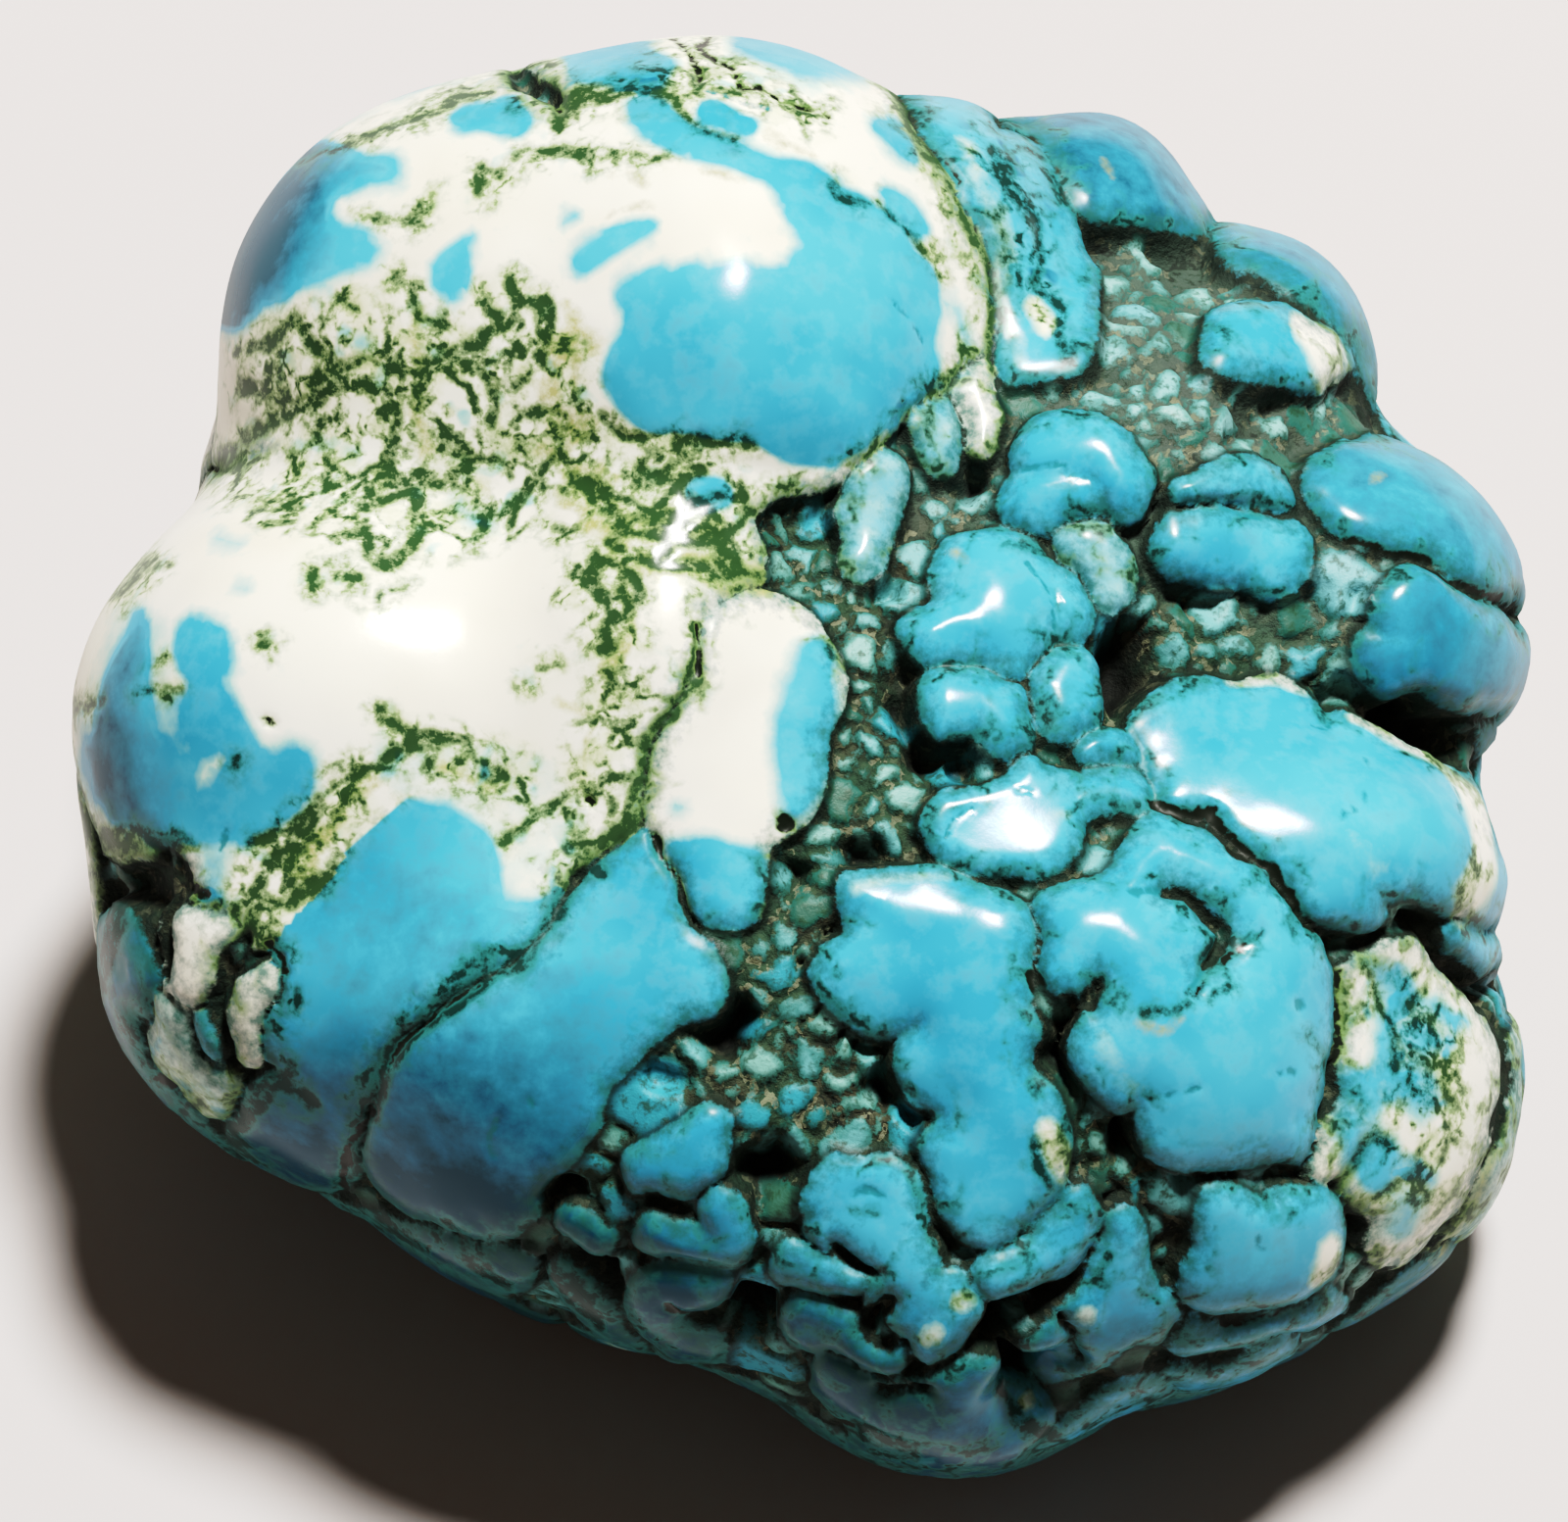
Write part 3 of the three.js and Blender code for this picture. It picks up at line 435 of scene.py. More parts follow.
# Veins level with the polish: kind, half width and a line through (u, v). Moss is soft and green, stain is
# soft and olive, seam is dark and crisp, hair is a thin healed crack. First, how soft their borders are.
VEIN_SOFTNESS = {"moss": 0.22, "stain": 0.34, "seam": 0.12, "hair": 0.09}
VEINS = [
    ("moss", 0.18, [(-17.2, 13.2), (-16.4, 13.1), (-16, 13.7), (-15.6, 14.1)]),
    ("moss", 0.16, [(-15.4, 13.9), (-15, 13.2), (-14.6, 13)]),
    ("moss", 0.12, [(-14.1, 14.6), (-13.6, 14.5)]),
    ("moss", 0.16, [(-15, 12), (-14.6, 12.4), (-13.9, 12.5), (-13.3, 12.8), (-13, 12.6)]),
    ("moss", 0.16, [(-12.4, 15.4), (-11.9, 15.2), (-11.7, 14.8), (-11.6, 14.2)]),
    ("moss", 0.16, [(-13.2, 17.2), (-12.5, 17.1), (-11.6, 17.1), (-11.3, 17.4), (-11.2, 17.7)]),
    ("moss", 0.14, [
        (-15.2, 18.9), (-13.4, 19.6), (-12.6, 19.9), (-11.5, 20.3), (-10.5, 20.9), (-9.4, 21.3)]),
    ("stain", 0.3, [(-11.5, 14.5), (-11.6, 12.4), (-11.4, 9.8)]),
    ("seam", 0.1, [(-4, 23), (-3.1, 22.8), (-2.9, 22.2), (-2.7, 21.7)]),
    ("moss", 0.28, [(-2.8, 21.8), (-2.75, 21.6)]),
    ("seam", 0.08, [
        (-2.3, 23.1), (-2.6, 22.7), (-2, 22.3), (-1.6, 22), (-1.4, 21.5), (-0.8, 21.5),
        (-0.1, 21.1), (0.4, 21), (1, 20.8), (1.4, 20.5)]),
    ("hair", 0.05, [(-2.5, 21.4), (-1.5, 21.1), (-0.5, 20.8)]),
    ("moss", 0.12, [(-3.5, 21.3), (-3.1, 20.8), (-2.6, 20.2), (-2.1, 19.9), (-1.5, 19.75)]),
    ("stain", 0.16, [(-0.5, 20), (0, 19.75), (0.9, 19.25)]),
    ("moss", 0.2, [
        (-9.6, 17.9), (-9.5, 18.6), (-9, 18.5), (-8.6, 18.9), (-8.1, 19.35), (-7.4, 19.4),
        (-6.8, 19.4), (-6.3, 19.15)]),
    ("moss", 0.1, [(-5.8, 19.2), (-5.2, 19.3), (-4.6, 19.2), (-4.2, 19.1), (-3.7, 19.3)]),
    ("stain", 0.14, [(-5.7, 18.7), (-5.5, 18.6)]),
    ("stain", 0.16, [(-4.8, 18.8), (-4.6, 18.3)]),
    ("stain", 0.14, [(-5.6, 17.4), (-4.5, 17.6)]),
    ("stain", 0.14, [(-2.6, 18.8), (-2, 18.6), (-1.3, 18.4)]),
    ("moss", 0.17, [
        (2.4, 22.6), (3.1, 21.9), (3.5, 21), (3.9, 20.2), (4.4, 19.5), (5, 18.8), (5.2, 18.2),
        (5.6, 17.7), (5.8, 17), (6.2, 16.3), (6.7, 15.7), (6.85, 15.2), (6.7, 14.5), (6.6, 13.5),
        (6.6, 12.7)]),
    ("seam", 0.09, [(5.1, 18.9), (5.6, 18.3), (5.5, 17.8)]),
    ("moss", 0.1, [
        (1.4, 18.5), (1.7, 18), (2.4, 17.6), (2.8, 17.7), (3.3, 17.2), (3.8, 16.8), (4.3, 16.3),
        (4.7, 16), (4.9, 15.5)]),
    ("hair", 0.07, [(2.9, 14.5), (3.4, 14.1), (4.2, 13.3)]),
    ("moss", 0.16, [(6.4, 19.2), (6.7, 18.4), (7.3, 17.6), (7.8, 17), (8, 16.5), (8.1, 15.6), (7.9, 15),
                    (8.5, 14.7), (8.9, 14.3), (8.8, 13.6), (9.1, 12.8)]),
    ("moss", 0.1, [(5.9, 17.4), (6.6, 17.1), (7.1, 16.2), (7.3, 15.2), (6.9, 14.5), (7.2, 13.6)]),
    ("moss", 0.1, [(6.5, 18.8), (7.2, 19.3), (8.1, 19)]),
    ("moss", 0.1, [(7.3, 17.6), (8, 17.8), (8.6, 17.6)]),
    ("moss", 0.22, [(6.8, 18.5), (6.9, 18.3)]),
    ("moss", 0.22, [
        (-8.5, 15.3), (-8.4, 14.6), (-8.6, 14.2), (-9.3, 13.8), (-10, 13.3), (-10.8, 13.1)]),
    ("moss", 0.2, [(-8.3, 14.6), (-7.4, 14.5), (-7.2, 14), (-7.4, 13.3), (-7.6, 12.5)]),
    ("moss", 0.16, [(-10.8, 13.1), (-11.6, 12.4), (-12.2, 11.4), (-12.4, 10.4)]),
    ("moss", 0.14, [(-9.3, 13.8), (-9.6, 12.8), (-9.2, 11.8), (-9.4, 10.6)]),
    ("moss", 0.14, [(-7.6, 12.5), (-8.4, 11.8), (-9.2, 11.8)]),
    ("stain", 0.34, [(-6.6, 14.4), (-6.3, 13.8), (-5.8, 13.4), (-6.4, 12.7), (-6.5, 11.8)]),
    ("moss", 0.14, [(-9.4, 15), (-9.4, 14.5), (-8.9, 14.3)]),
    ("moss", 0.33, [(-7.6, 12.6), (-7.55, 12.4)]),
    ("moss", 0.14, [(-12.3, 15.3), (-11.9, 15.1), (-11.7, 14.6), (-11.5, 14.2), (-10.6, 14.1)]),
    ("moss", 0.12, [
        (-6.7, 11), (-6.8, 10), (-6.6, 9), (-6.3, 8.6), (-6, 8.2), (-5.4, 8.4), (-4.8, 8.7),
        (-4, 8.9), (-3.6, 9.2), (-3.6, 10), (-3.7, 10.4), (-4.8, 10.2), (-5.1, 10.4), (-5.4, 11)]),
    ("moss", 0.14, [(-8.3, 10.9), (-7.6, 11.1), (-6.9, 11)]),
    ("moss", 0.22, [(-3.5, 9.9), (-2.8, 10.2), (-2.2, 10.1), (-1.8, 10.5), (-1.5, 10.1)]),
    ("stain", 0.5, [
        (-5.2, 7.2), (-5, 6.6), (-4.3, 6.2), (-3.5, 5.9), (-2.5, 5.9), (-1.7, 5.6), (-1, 5.6)]),
    ("moss", 0.16, [
        (-5.2, 7.2), (-5, 6.6), (-4.3, 6.2), (-3.5, 5.9), (-2.5, 5.9), (-1.7, 5.6), (-1, 5.6)]),
    ("moss", 0.2, [(-6.4, 9), (-5.7, 7.9), (-4.9, 7.2), (-3.9, 6.9), (-2.8, 6.7), (-1.9, 6.4)]),
    ("moss", 0.2, [(-6.6, 8.8), (-5.6, 8.4), (-4.6, 7.7), (-3.8, 8.2), (-3, 9)]),
    ("moss", 0.2, [(-5.4, 6.8), (-4.4, 7.6), (-3.2, 7.4), (-2.4, 8.2), (-1.4, 7.6)]),
    ("moss", 0.2, [(-3.9, 6.2), (-3.3, 7.2), (-3.6, 8.4), (-4.6, 9)]),
    ("moss", 0.18, [(-1.6, 5.8), (-2.2, 6.6), (-1.6, 7.4), (-1.8, 8.6)]),
    ("moss", 0.2, [(-5.8, 6.4), (-5, 6), (-4.6, 5.2), (-5.2, 4.4)]),
    ("stain", 0.6, [(-6.4, 10.4), (-7.4, 11.6), (-6.8, 13)]),
    ("stain", 0.7, [(-6.8, 9.6), (-6, 8.3), (-5.2, 7.4), (-4.2, 7.1), (-3.2, 7.2)]),
    ("moss", 0.3, [(-5.9, 5.8), (-5.6, 4.6), (-5.9, 3.6)]),
    ("stain", 0.35, [(-5, 6.2), (-5.1, 5.3), (-5, 4.6), (-5.2, 3.9), (-5.5, 3.3), (-5.7, 2.7)]),
    ("moss", 0.2, [(-5, 6), (-5.1, 5.2), (-5, 4.5)]),
    ("seam", 0.12, [(-2.8, 4.1), (-2.6, 3.4), (-2.6, 2.8)]),
    ("moss", 0.26, [
        (-2.7, 2.6), (-3.2, 1.9), (-3.5, 1.3), (-4, 0.8), (-4.2, 0.2), (-4.3, -0.6), (-4.6, -1.4),
        (-5, -2), (-5.5, -2.6)]),
    ("moss", 0.3, [(-4.6, -1.6), (-4.8, -1.8)]),
    ("stain", 0.14, [(-7.3, 2), (-6.4, 1.5), (-6, 1.2), (-6.2, 0.6), (-6.3, -0.2), (-6.3, -0.8)]),
    ("moss", 0.1, [(-7.9, 3.1), (-7.6, 3)]),
    ("moss", 0.1, [(-8.3, 2.6), (-8.1, 2.6)]),
    ("moss", 0.14, [(-4.5, 2.3), (-4.4, 2.1)]),
    ("seam", 0.18, [(-6.1, -1.2), (-5.9, -1.4)]),
    ("moss", 0.14, [(-7.1, 7.3), (-6.9, 7.3)]),
    ("moss", 0.16, [(-8.8, 7.5), (-8.3, 8.3), (-7.8, 8.7), (-7.4, 9.2), (-6.9, 9.6)]),
    ("moss", 0.14, [(-10.3, 9.4), (-9.6, 9.5), (-9, 9.3), (-8.6, 8.9)]),
    ("stain", 0.3, [(-9.7, 8.8), (-9.4, 8.6)]),
    ("moss", 0.22, [
        (-18, 9.5), (-17.4, 9.9), (-16.7, 10.3), (-16.2, 10.7), (-15.6, 11.1), (-15, 11.4)]),
    ("moss", 0.36, [(-17, 11.9), (-16.8, 11.7)]),
    ("moss", 0.16, [(-13.5, 9.1), (-12.9, 9.5), (-12.3, 9.9), (-12, 9.8)]),
    ("moss", 0.16, [
        (-13.3, 7.8), (-12.6, 8.1), (-12, 8.4), (-11.6, 8.7), (-10.8, 8.65), (-10.3, 8.6)]),
    ("moss", 0.12, [(-17, 8), (-16.3, 8), (-15.4, 8)]),
    ("moss", 0.1, [(-16.4, 7.5), (-15.6, 7.4)]),
    ("moss", 0.22, [
        (-13.1, 7), (-13, 6.4), (-12.5, 6.2), (-12, 6.5), (-11.7, 6.9), (-11.7, 7.4)]),
    ("moss", 0.14, [(-14.9, 5.9), (-14.7, 5.5)]),
    ("moss", 0.14, [(-14.2, 5.7), (-13.5, 5.7), (-13.3, 5.4)]),
    ("moss", 0.12, [(-12.8, 5), (-12.5, 5.4), (-12, 5.4)]),
    ("moss", 0.14, [(-12.9, 1.6), (-12.4, 1.2), (-12, 0.9)]),
    ("moss", 0.22, [(-13, 0), (-12.2, 0.4), (-11.2, 0.8), (-10.4, 0.6)]),
    ("moss", 0.24, [(-12.8, 0.1), (-13.6, -0.4), (-14.5, -1), (-15.1, -1.8), (-15.8, -2.5), (-16.8, -2.7)]),
    ("moss", 0.2, [(-14.1, -3.1), (-14.7, -3.8), (-15.3, -4.3), (-16, -4.7), (-16.8, -4.5)]),
    ("moss", 0.2, [(-16.2, -3.4), (-16.6, -4.3), (-16.9, -5.2), (-17.4, -6.2)]),
    ("moss", 0.3, [(-14.6, -1.4), (-15.3, -2.6), (-16.2, -3.6)]),
    ("stain", 0.6, [(-13.2, -0.5), (-13.9, -1.2), (-14.3, -2.1), (-15.2, -3.2)]),
    ("moss", 0.34, [(-9, 22.4), (-8.3, 21.6), (-7.6, 21.3), (-7.1, 20.9), (-7.2, 20.4)]),
    ("seam", 0.1, [(-8.3, 21.7), (-7.7, 21.3), (-7.2, 20.8)]),
    ("moss", 0.2, [(-7, 21.2), (-5.6, 21.2), (-4.3, 21.4), (-3.7, 21.2)]),
    ("moss", 0.14, [(-21.3, 5.2), (-20.6, 5.9), (-20, 6.4)]),
    ("moss", 0.12, [(-23, 1.1), (-22.3, 1.7), (-21.6, 2)]),
    ("moss", 0.12, [(-20.3, 2), (-19.2, 2.3)]),
    ("moss", 0.12, [(-20, 2.9), (-19.7, 3.2)]),
    ("seam", 0.22, [(-16.35, 1.2), (-16.25, 1.2)]),
    ("moss", 0.14, [(-16.5, 3.5), (-16.3, 3.5)]),
    ("moss", 0.14, [(-17.4, 0), (-17.4, -0.2)]),
    ("moss", 0.14, [(-11.1, 0.3), (-11.2, -0.1), (-11.1, -0.5)]),
    ("moss", 0.38, [(-9.3, -0.3), (-9.1, -0.5)]),
    ("stain", 0.22, [(-10.7, -0.3), (-9.8, -0.6), (-9.2, -1), (-8.7, -0.9)]),
    ("moss", 0.12, [(-8.9, -2.6), (-8.3, -2.1), (-7.9, -1.6), (-7, -1.2), (-6.5, -1)]),
    ("moss", 0.3, [(-6.8, -2.6), (-6.4, -2.7), (-6, -3.1), (-5.8, -3.7)]),
    ("moss", 0.26, [(-6.1, -3.3), (-6.7, -3.7), (-6.9, -4.2), (-7.3, -4.8)]),
    ("moss", 0.12, [
        (-7.3, -4.8), (-7.7, -5.3), (-8, -5.9), (-8.4, -6.5), (-9, -6.8), (-9.8, -7.2)]),
    ("moss", 0.3, [
        (-8.6, -6.5), (-9.8, -7.2), (-11.2, -8.2), (-12.4, -9.8), (-13.2, -11.4), (-13.9, -13.4)]),
    ("seam", 0.16, [(-13.1, -11), (-13.8, -12.4), (-14, -13.6)]),
    ("seam", 0.08, [(-9.8, -7.2), (-10.7, -7.8), (-11.2, -8.2), (-11.8, -8.9), (-12.4, -9.8)]),
    ("hair", 0.08, [(-9, -11.2), (-9.1, -11.9), (-8.9, -12.5)]),
    ("hair", 0.12, [(-8.1, -10.7), (-8, -10.9)]),
    ("moss", 0.28, [(-16.2, -10.2), (-15.5, -10.4), (-15, -10.9)]),
    ("moss", 0.2, [(-17.4, -10.8), (-17.6, -11.6), (-17.5, -12.2)]),
    ("hair", 0.12, [(-17.6, -2.2), (-17.8, -2.8)]),
    ("seam", 0.16, [(-18.6, -4), (-18.4, -4.1)]),
    ("seam", 0.14, [(-16.4, -6), (-16.2, -6.4), (-16.1, -6.8)]),
    ("seam", 0.12, [(-19.9, -10.1), (-19.4, -10.4)]),
    ("hair", 0.14, [(-20.8, -6.4), (-20.7, -7)]),
    ("moss", 0.14, [(-15.5, -7.3), (-15.6, -8.1)]),
    ("seam", 0.12, [
        (-3.95, -2.4), (-3.9, -2.9), (-3.6, -3.5), (-3.3, -4.2), (-3.1, -4.9)]),
    ("seam", 0.16, [(0, -1.9), (0.05, -2.1)]),
    ("hair", 0.07, [(5.1, -2.8), (5.2, -2.2), (5.6, -1.9), (6, -1.7)]),
    ("hair", 0.06, [(7.5, -1.1), (8, -1.1)]),
    ("hair", 0.08, [(9.8, -2.3), (9.8, -2)]),
    ("hair", 0.07, [(7.6, 6.1), (8.2, 5.4), (8.4, 4.6), (8.6, 3.9)]),
    ("hair", 0.07, [(7.7, 9.3), (8.3, 9.25), (9, 9.1)]),
    ("stain", 0.2, [(5.5, 6.5), (5.7, 6.3)]),
    ("hair", 0.06, [(13, 8.0), (13.8, 7.9), (14.5, 7.75), (15.2, 7.5)]),
    ("seam", 0.16, [
        (17.8, 6.9), (18.5, 6.9), (19.2, 6.5), (20, 6.5), (20.6, 6.2), (21, 5.8), (21.6, 5.6),
        (22.6, 5.3)]),
    ("stain", 0.14, [(18.7, 8.6), (18.9, 8.6)]),
    ("stain", 0.14, [(10.1, 19), (10.4, 18.7)]),
    ("hair", 0.06, [(17.2, 1.4), (17.1, 1.1), (16.4, 0.9)]),
    ("seam", 0.2, [
        (11.9, -1.3), (12.6, -1.6), (13, -1.8), (13.6, -1.7), (14, -2), (14.5, -2.5), (15, -3),
        (15.6, -3.4), (15.8, -4.1), (16.2, -4.6), (16.6, -5.3), (17, -5.6)]),
    ("hair", 0.07, [(11.4, 0.3), (11.6, -0.4), (11.9, -1.2)]),
    ("hair", 0.06, [(17.5, -2.4), (17.8, -1.9), (18.1, -1.5), (18.4, -1.1)]),
    ("hair", 0.05, [(18.2, -0.2), (18.7, -0.8)]),
    ("moss", 0.1, [(21.5, -3.1), (21.8, -3.6)]),
    ("moss", 0.08, [(21.4, -4.2), (21.2, -4.8)]),
    ("hair", 0.06, [(21.1, -0.9), (21.2, -1.8)]),
    ("hair", 0.14, [
        (11.1, -4.3), (11.8, -4.15), (12.3, -4.1), (13, -4.3), (13.5, -4.9), (13.9, -5.5),
        (13.7, -6.1), (13.4, -6.5), (13.1, -7), (12.9, -7.4)]),
    ("seam", 0.12, [(14.9, -5.4), (14.4, -5.8), (13.9, -6.3), (13.5, -6.8), (13.1, -7.4)]),
    ("seam", 0.2, [(12.9, -7.4), (13.2, -7.6)]),
    ("moss", 0.14, [(13.4, -7.7), (13.9, -7.3)]),
    ("moss", 0.13, [(12.8, -7.7), (12.3, -8), (11.6, -8)]),
    ("stain", 0.16, [(12.5, -8.2), (12, -8.5), (11.5, -8.4)]),
    ("hair", 0.14, [(15.85, -7.9), (15.95, -7.9)]),
    ("hair", 0.06, [(15.8, -9.8), (15.3, -9.9)]),
    ("hair", 0.08, [(12, -10.6), (12.9, -10.4)]),
    ("moss", 0.12, [(7.8, -11.9), (7.9, -12.8), (8.3, -13.6)]),
    ("hair", 0.05, [(7.95, -5), (7.9, -5.6), (8.05, -6.3)]),
    ("seam", 0.2, [(8, -6.8), (8.2, -7.3)]),
    ("moss", 0.13, [
        (18.4, -6.7), (18.6, -7.3), (18.8, -7.9), (19, -8.3), (19.3, -8.8), (19.4, -9.3),
        (19.3, -9.9)]),
    ("moss", 0.1, [(17.6, -8.6), (18.2, -8.4), (18.6, -8.1), (18.9, -8)]),
    ("seam", 0.13, [(17.55, -6.8), (17.55, -8), (17.6, -9.2), (17.45, -9.9)]),
    ("moss", 0.14, [(20.4, -6.9), (20.2, -7.4), (19.9, -7.8), (19.8, -8.2)]),
    ("stain", 0.16, [(20.8, -7.5), (20.8, -7.7)]),
    ("moss", 0.14, [(20.4, -8.8), (20.4, -9)]),
    ("moss", 0.1, [(19.5, -9.4), (19.8, -9.7), (20.1, -9.8)]),
    ("moss", 0.12, [(20.9, -9.6), (20.8, -10.2), (20.9, -10.6), (21.3, -11.1)]),
    ("moss", 0.1, [(21.2, -11.1), (21, -12), (20.8, -12.7)]),
    ("moss", 0.1, [(16.3, -8.8), (16.8, -9.3), (17, -10), (17.2, -10.6)]),
    ("moss", 0.16, [(18.4, -11.9), (18.8, -11.8), (19.1, -12)]),
    ("moss", 0.13, [(18.5, -11.9), (18.3, -12.5), (17.9, -13.1), (17.6, -13.8)]),
    ("moss", 0.13, [(20.1, -12.6), (19.8, -13), (19.5, -13.3), (18.9, -13.8), (18.2, -14.2)]),
    ("moss", 0.1, [(20.5, -11.7), (20.2, -12.2), (20, -12.8), (20.1, -13.7)]),
    ("stain", 0.14, [(22.7, -12.4), (22.2, -13.6), (21.4, -14.8), (20.6, -15.7)]),
    ("hair", 0.12, [(15, -15.1), (15.1, -15.5)]),
    ("seam", 0.1, [(14, -17.75), (15.2, -17.65), (16.3, -17.3)]),
    ("hair", 0.09, [(2.3, -13.9), (2.8, -13.8), (3.3, -13.9)]),
    ("hair", 0.1, [(8.7, -18.6), (8.9, -18.8)]),
    ("seam", 0.12, [(-3.6, -17.1), (-3, -17.5), (-2.4, -17.7)]),
    ("seam", 0.1, [(0.3, -20.2), (1.2, -20.8), (2.3, -21.1)]),
    ("hair", 0.07, [(4.3, -22.1), (4.8, -22.1)]),
    # dark growth along the shaded low rim
    ("moss", 0.3, [(-16.6, -10.6), (-17.4, -11.8), (-17, -13.4)]),
    ("moss", 0.24, [(-18.4, -10.8), (-19.6, -11.4)]),
    ("moss", 0.26, [(-13.9, -13.4), (-12.6, -14.6), (-11.6, -15.4)]),
    ("moss", 0.3, [(-8.2, -14.9), (-7.4, -16.2), (-6, -17.6)]),
    ("moss", 0.3, [(-21.6, -3.6), (-21, -5), (-21.4, -7)]),
    ("moss", 0.34, [(-22.6, -1.6), (-21.6, -2.4), (-20.4, -2.6), (-19.8, -3.4)]),
    ("moss", 0.22, [(-10.6, -14.4), (-9.9, -15.6), (-8.8, -16.6)]),
    ("moss", 0.24, [(1.6, -21), (3, -21.3), (4.2, -21.9)]),
    ("moss", 0.24, [(6.6, -20), (7.4, -21), (8.8, -21.4)]),
    ("hair", 0.07, [(5.8, -22.4), (6.3, -22.3)]),
]

# Ground where fine dendrites run all through the stone: a run of (u, v, radius).
MOSSY_GROUND = [
    [(-11.2, 0.8, 0.2), (-12.4, 0.3, 0.4), (-13.7, -0.8, 0.9), (-15, -2.5, 1.3), (-16.4, -4.1, 1.1),
     (-17.2, -5.7, 0.7), (-17.8, -7.6, 0.4), (-17.8, -9.8, 0.3)],
    [(-15, 9.6, 1.2), (-12, 9.6, 1.4)],
    [(-8.6, 21.4, 0.7), (-6, 21, 0.5), (-3, 22, 0.8), (-1, 21.4, 0.7), (1, 20.6, 0.5)],
    [(-3.6, 9.8, 0.9), (-2.4, 7.4, 1.2), (-4.4, 6.4, 1.0)],
    [(-15.5, 12.4, 1.8), (-12.4, 12, 2.4), (-8.6, 11.8, 2.6), (-7, 10.6, 2)],
    [(-17.4, 8.8, 0.8), (-12.6, 8, 1.6), (-9, 8.6, 1.6)],
    [(-6.2, 5.4, 1.1), (-5.2, 3.4, 1), (-5.4, 0.4, 1.2), (-6.4, -1.4, 0.9)],
    [(-10.8, 0, 0.9), (-8.8, -0.6, 1)],
    [(20, -7.6, 1), (20.4, -9.2, 1.1), (20, -13, 1.2)],
    [(-21.4, -6, 0.6), (-20, -10, 0.9), (-17, -13, 0.8), (-13, -15, 1.0), (-8, -15.8, 0.9),
     (-4, -18.6, 0.9), (0, -20.6, 1.0), (5, -22.4, 1.0), (9, -21.6, 0.8), (15, -18.6, 0.6)],
    [(6.2, 19.6, 0.7), (7.6, 16.6, 0.9), (8, 13.8, 0.6)],
]

# What the skin keeps at each point for the material to read.
STONE_VALUES = [
    "tint", "reach", "moss", "stain", "seam", "hair", "ground", "webbed", "painted_upper_light", "inset",
    "pebble_tint", "depth",
]

# Random swells in the stone: name, size in mm, detail and roughness. The drag bends the cells below and
# breaks them up, and the rasp is the sandpaper grain of the matrix.
SWELL_SIZES = [
    ("swell", 6.0, 2.0, 0.6), ("drift", 2.4, 3.0, 0.6), ("drag", 1.2, 3.0, 0.6), ("bead", 1.1, 1.0, 0.6),
    ("mottle", 0.9, 4.0, 0.6), ("speck", 0.4, 3.0, 0.65), ("rasp", 0.2, 3.0, 0.7),
]
# Cells whose walls the dendrites follow: name and size in mm. Then, in mm, how far they are bent, the size
# of the matrix's grains and the depth of the fine relief.
CELL_SIZES = [("wide_cell", 1.923), ("narrow_cell", 0.8696)]
BEND = 1.6
GRAIN = 0.3125
RELIEF = 0.12

# painted shade: the turquoise as it looks in shade, which tints past blue run into
TURQUOISE_PAINTED_SHADE = "#17556B"
TURQUOISE_DEEP = "#449EC3"
TURQUOISE_MID = "#5AB4D6"
TURQUOISE_LIGHT = "#97D6EC"
TURQUOISE_MILKY = "#A9D6D3"
# a green moss border, with painted shade where growths and pebbles sink into the matrix
EDGE_MOSS_AND_SHADE = "#2F6A62"
VEIN_TEAL = "#3E8784"
VEIN_DARK = "#173A35"
PORCELAIN = "#F7F7EB"
PORCELAIN_WARM = "#E9E5CF"
MOSS_DARK = "#2C4A2E"
MOSS_GREEN = "#7C9960"
MOSS_WASH = "#C6CF9E"
OLIVE = "#A3A35C"
SEAM_DARK = "#1B241A"
MATRIX_BLACK = "#0F140F"
MATRIX_BROWN = "#4A4A3B"
MATRIX_GREEN = "#33503F"
MATRIX_TAN = "#8B8D76"
# painted light: the matrix's paler tone towards the upper right
MATRIX_PAINTED_LIGHT = "#5F6E66"
# painted shade in the crevice at the foot of each growth's wall
PAINTED_CREVICE_SHADE = "#16271F"
PEBBLE_GREEN = "#3F6F62"
PEBBLE_MILKY = "#84B4AA"
# painted light: the pebbles' paler tone towards the upper right
PEBBLE_PAINTED_LIGHT = "#9CC9C6"
PEBBLE_BLUE = "#4298AA"
HEALED = "#2F7F88"
FLOOR_PAPER = "#D2CDCD"
BACKDROP_CLOTH = "#E9E4E2"

# The light that the print's tone curve ends at, and the radii of the card and the backdrop in metres.
PRINT_WHITE = 1.5
CARD_REACH = 0.34
BACKDROP_REACH = 0.68


def linear(colour):
    """A hex colour as the linear red, green, blue and alpha that a shader works in."""
    parts = [int(colour[at:at + 2], 16) / 255 for at in (1, 3, 5)]
    return [p / 12.92 if p <= 0.04045 else ((p + 0.055) / 1.055) ** 2.4 for p in parts] + [1.0]


def ramp(value, low, high):
    """0 below low, 1 above high and a smooth rise between."""
    share = np.clip((value - low) / (high - low), 0, 1)
    return share * share * (3 - 2 * share)


def ripple(points, wavelength, seed):
    """Smooth random swells from -1 to 1 over points in space, about one to a wavelength."""
    size = 24
    lattice = np.random.default_rng(seed).uniform(-1, 1, (size, size, size))
    place = points / wavelength
    corner = np.floor(place).astype(int)
    part = place - corner
    part = part * part * (3 - 2 * part)
    total = np.zeros(len(points))
    for step in itertools.product((0, 1), repeat=3):
        share = np.prod(np.where(np.array(step), part, 1 - part), axis=1)
        x, y, z = ((corner + step) % size).T
        total += share * lattice[x, y, z]
    return total


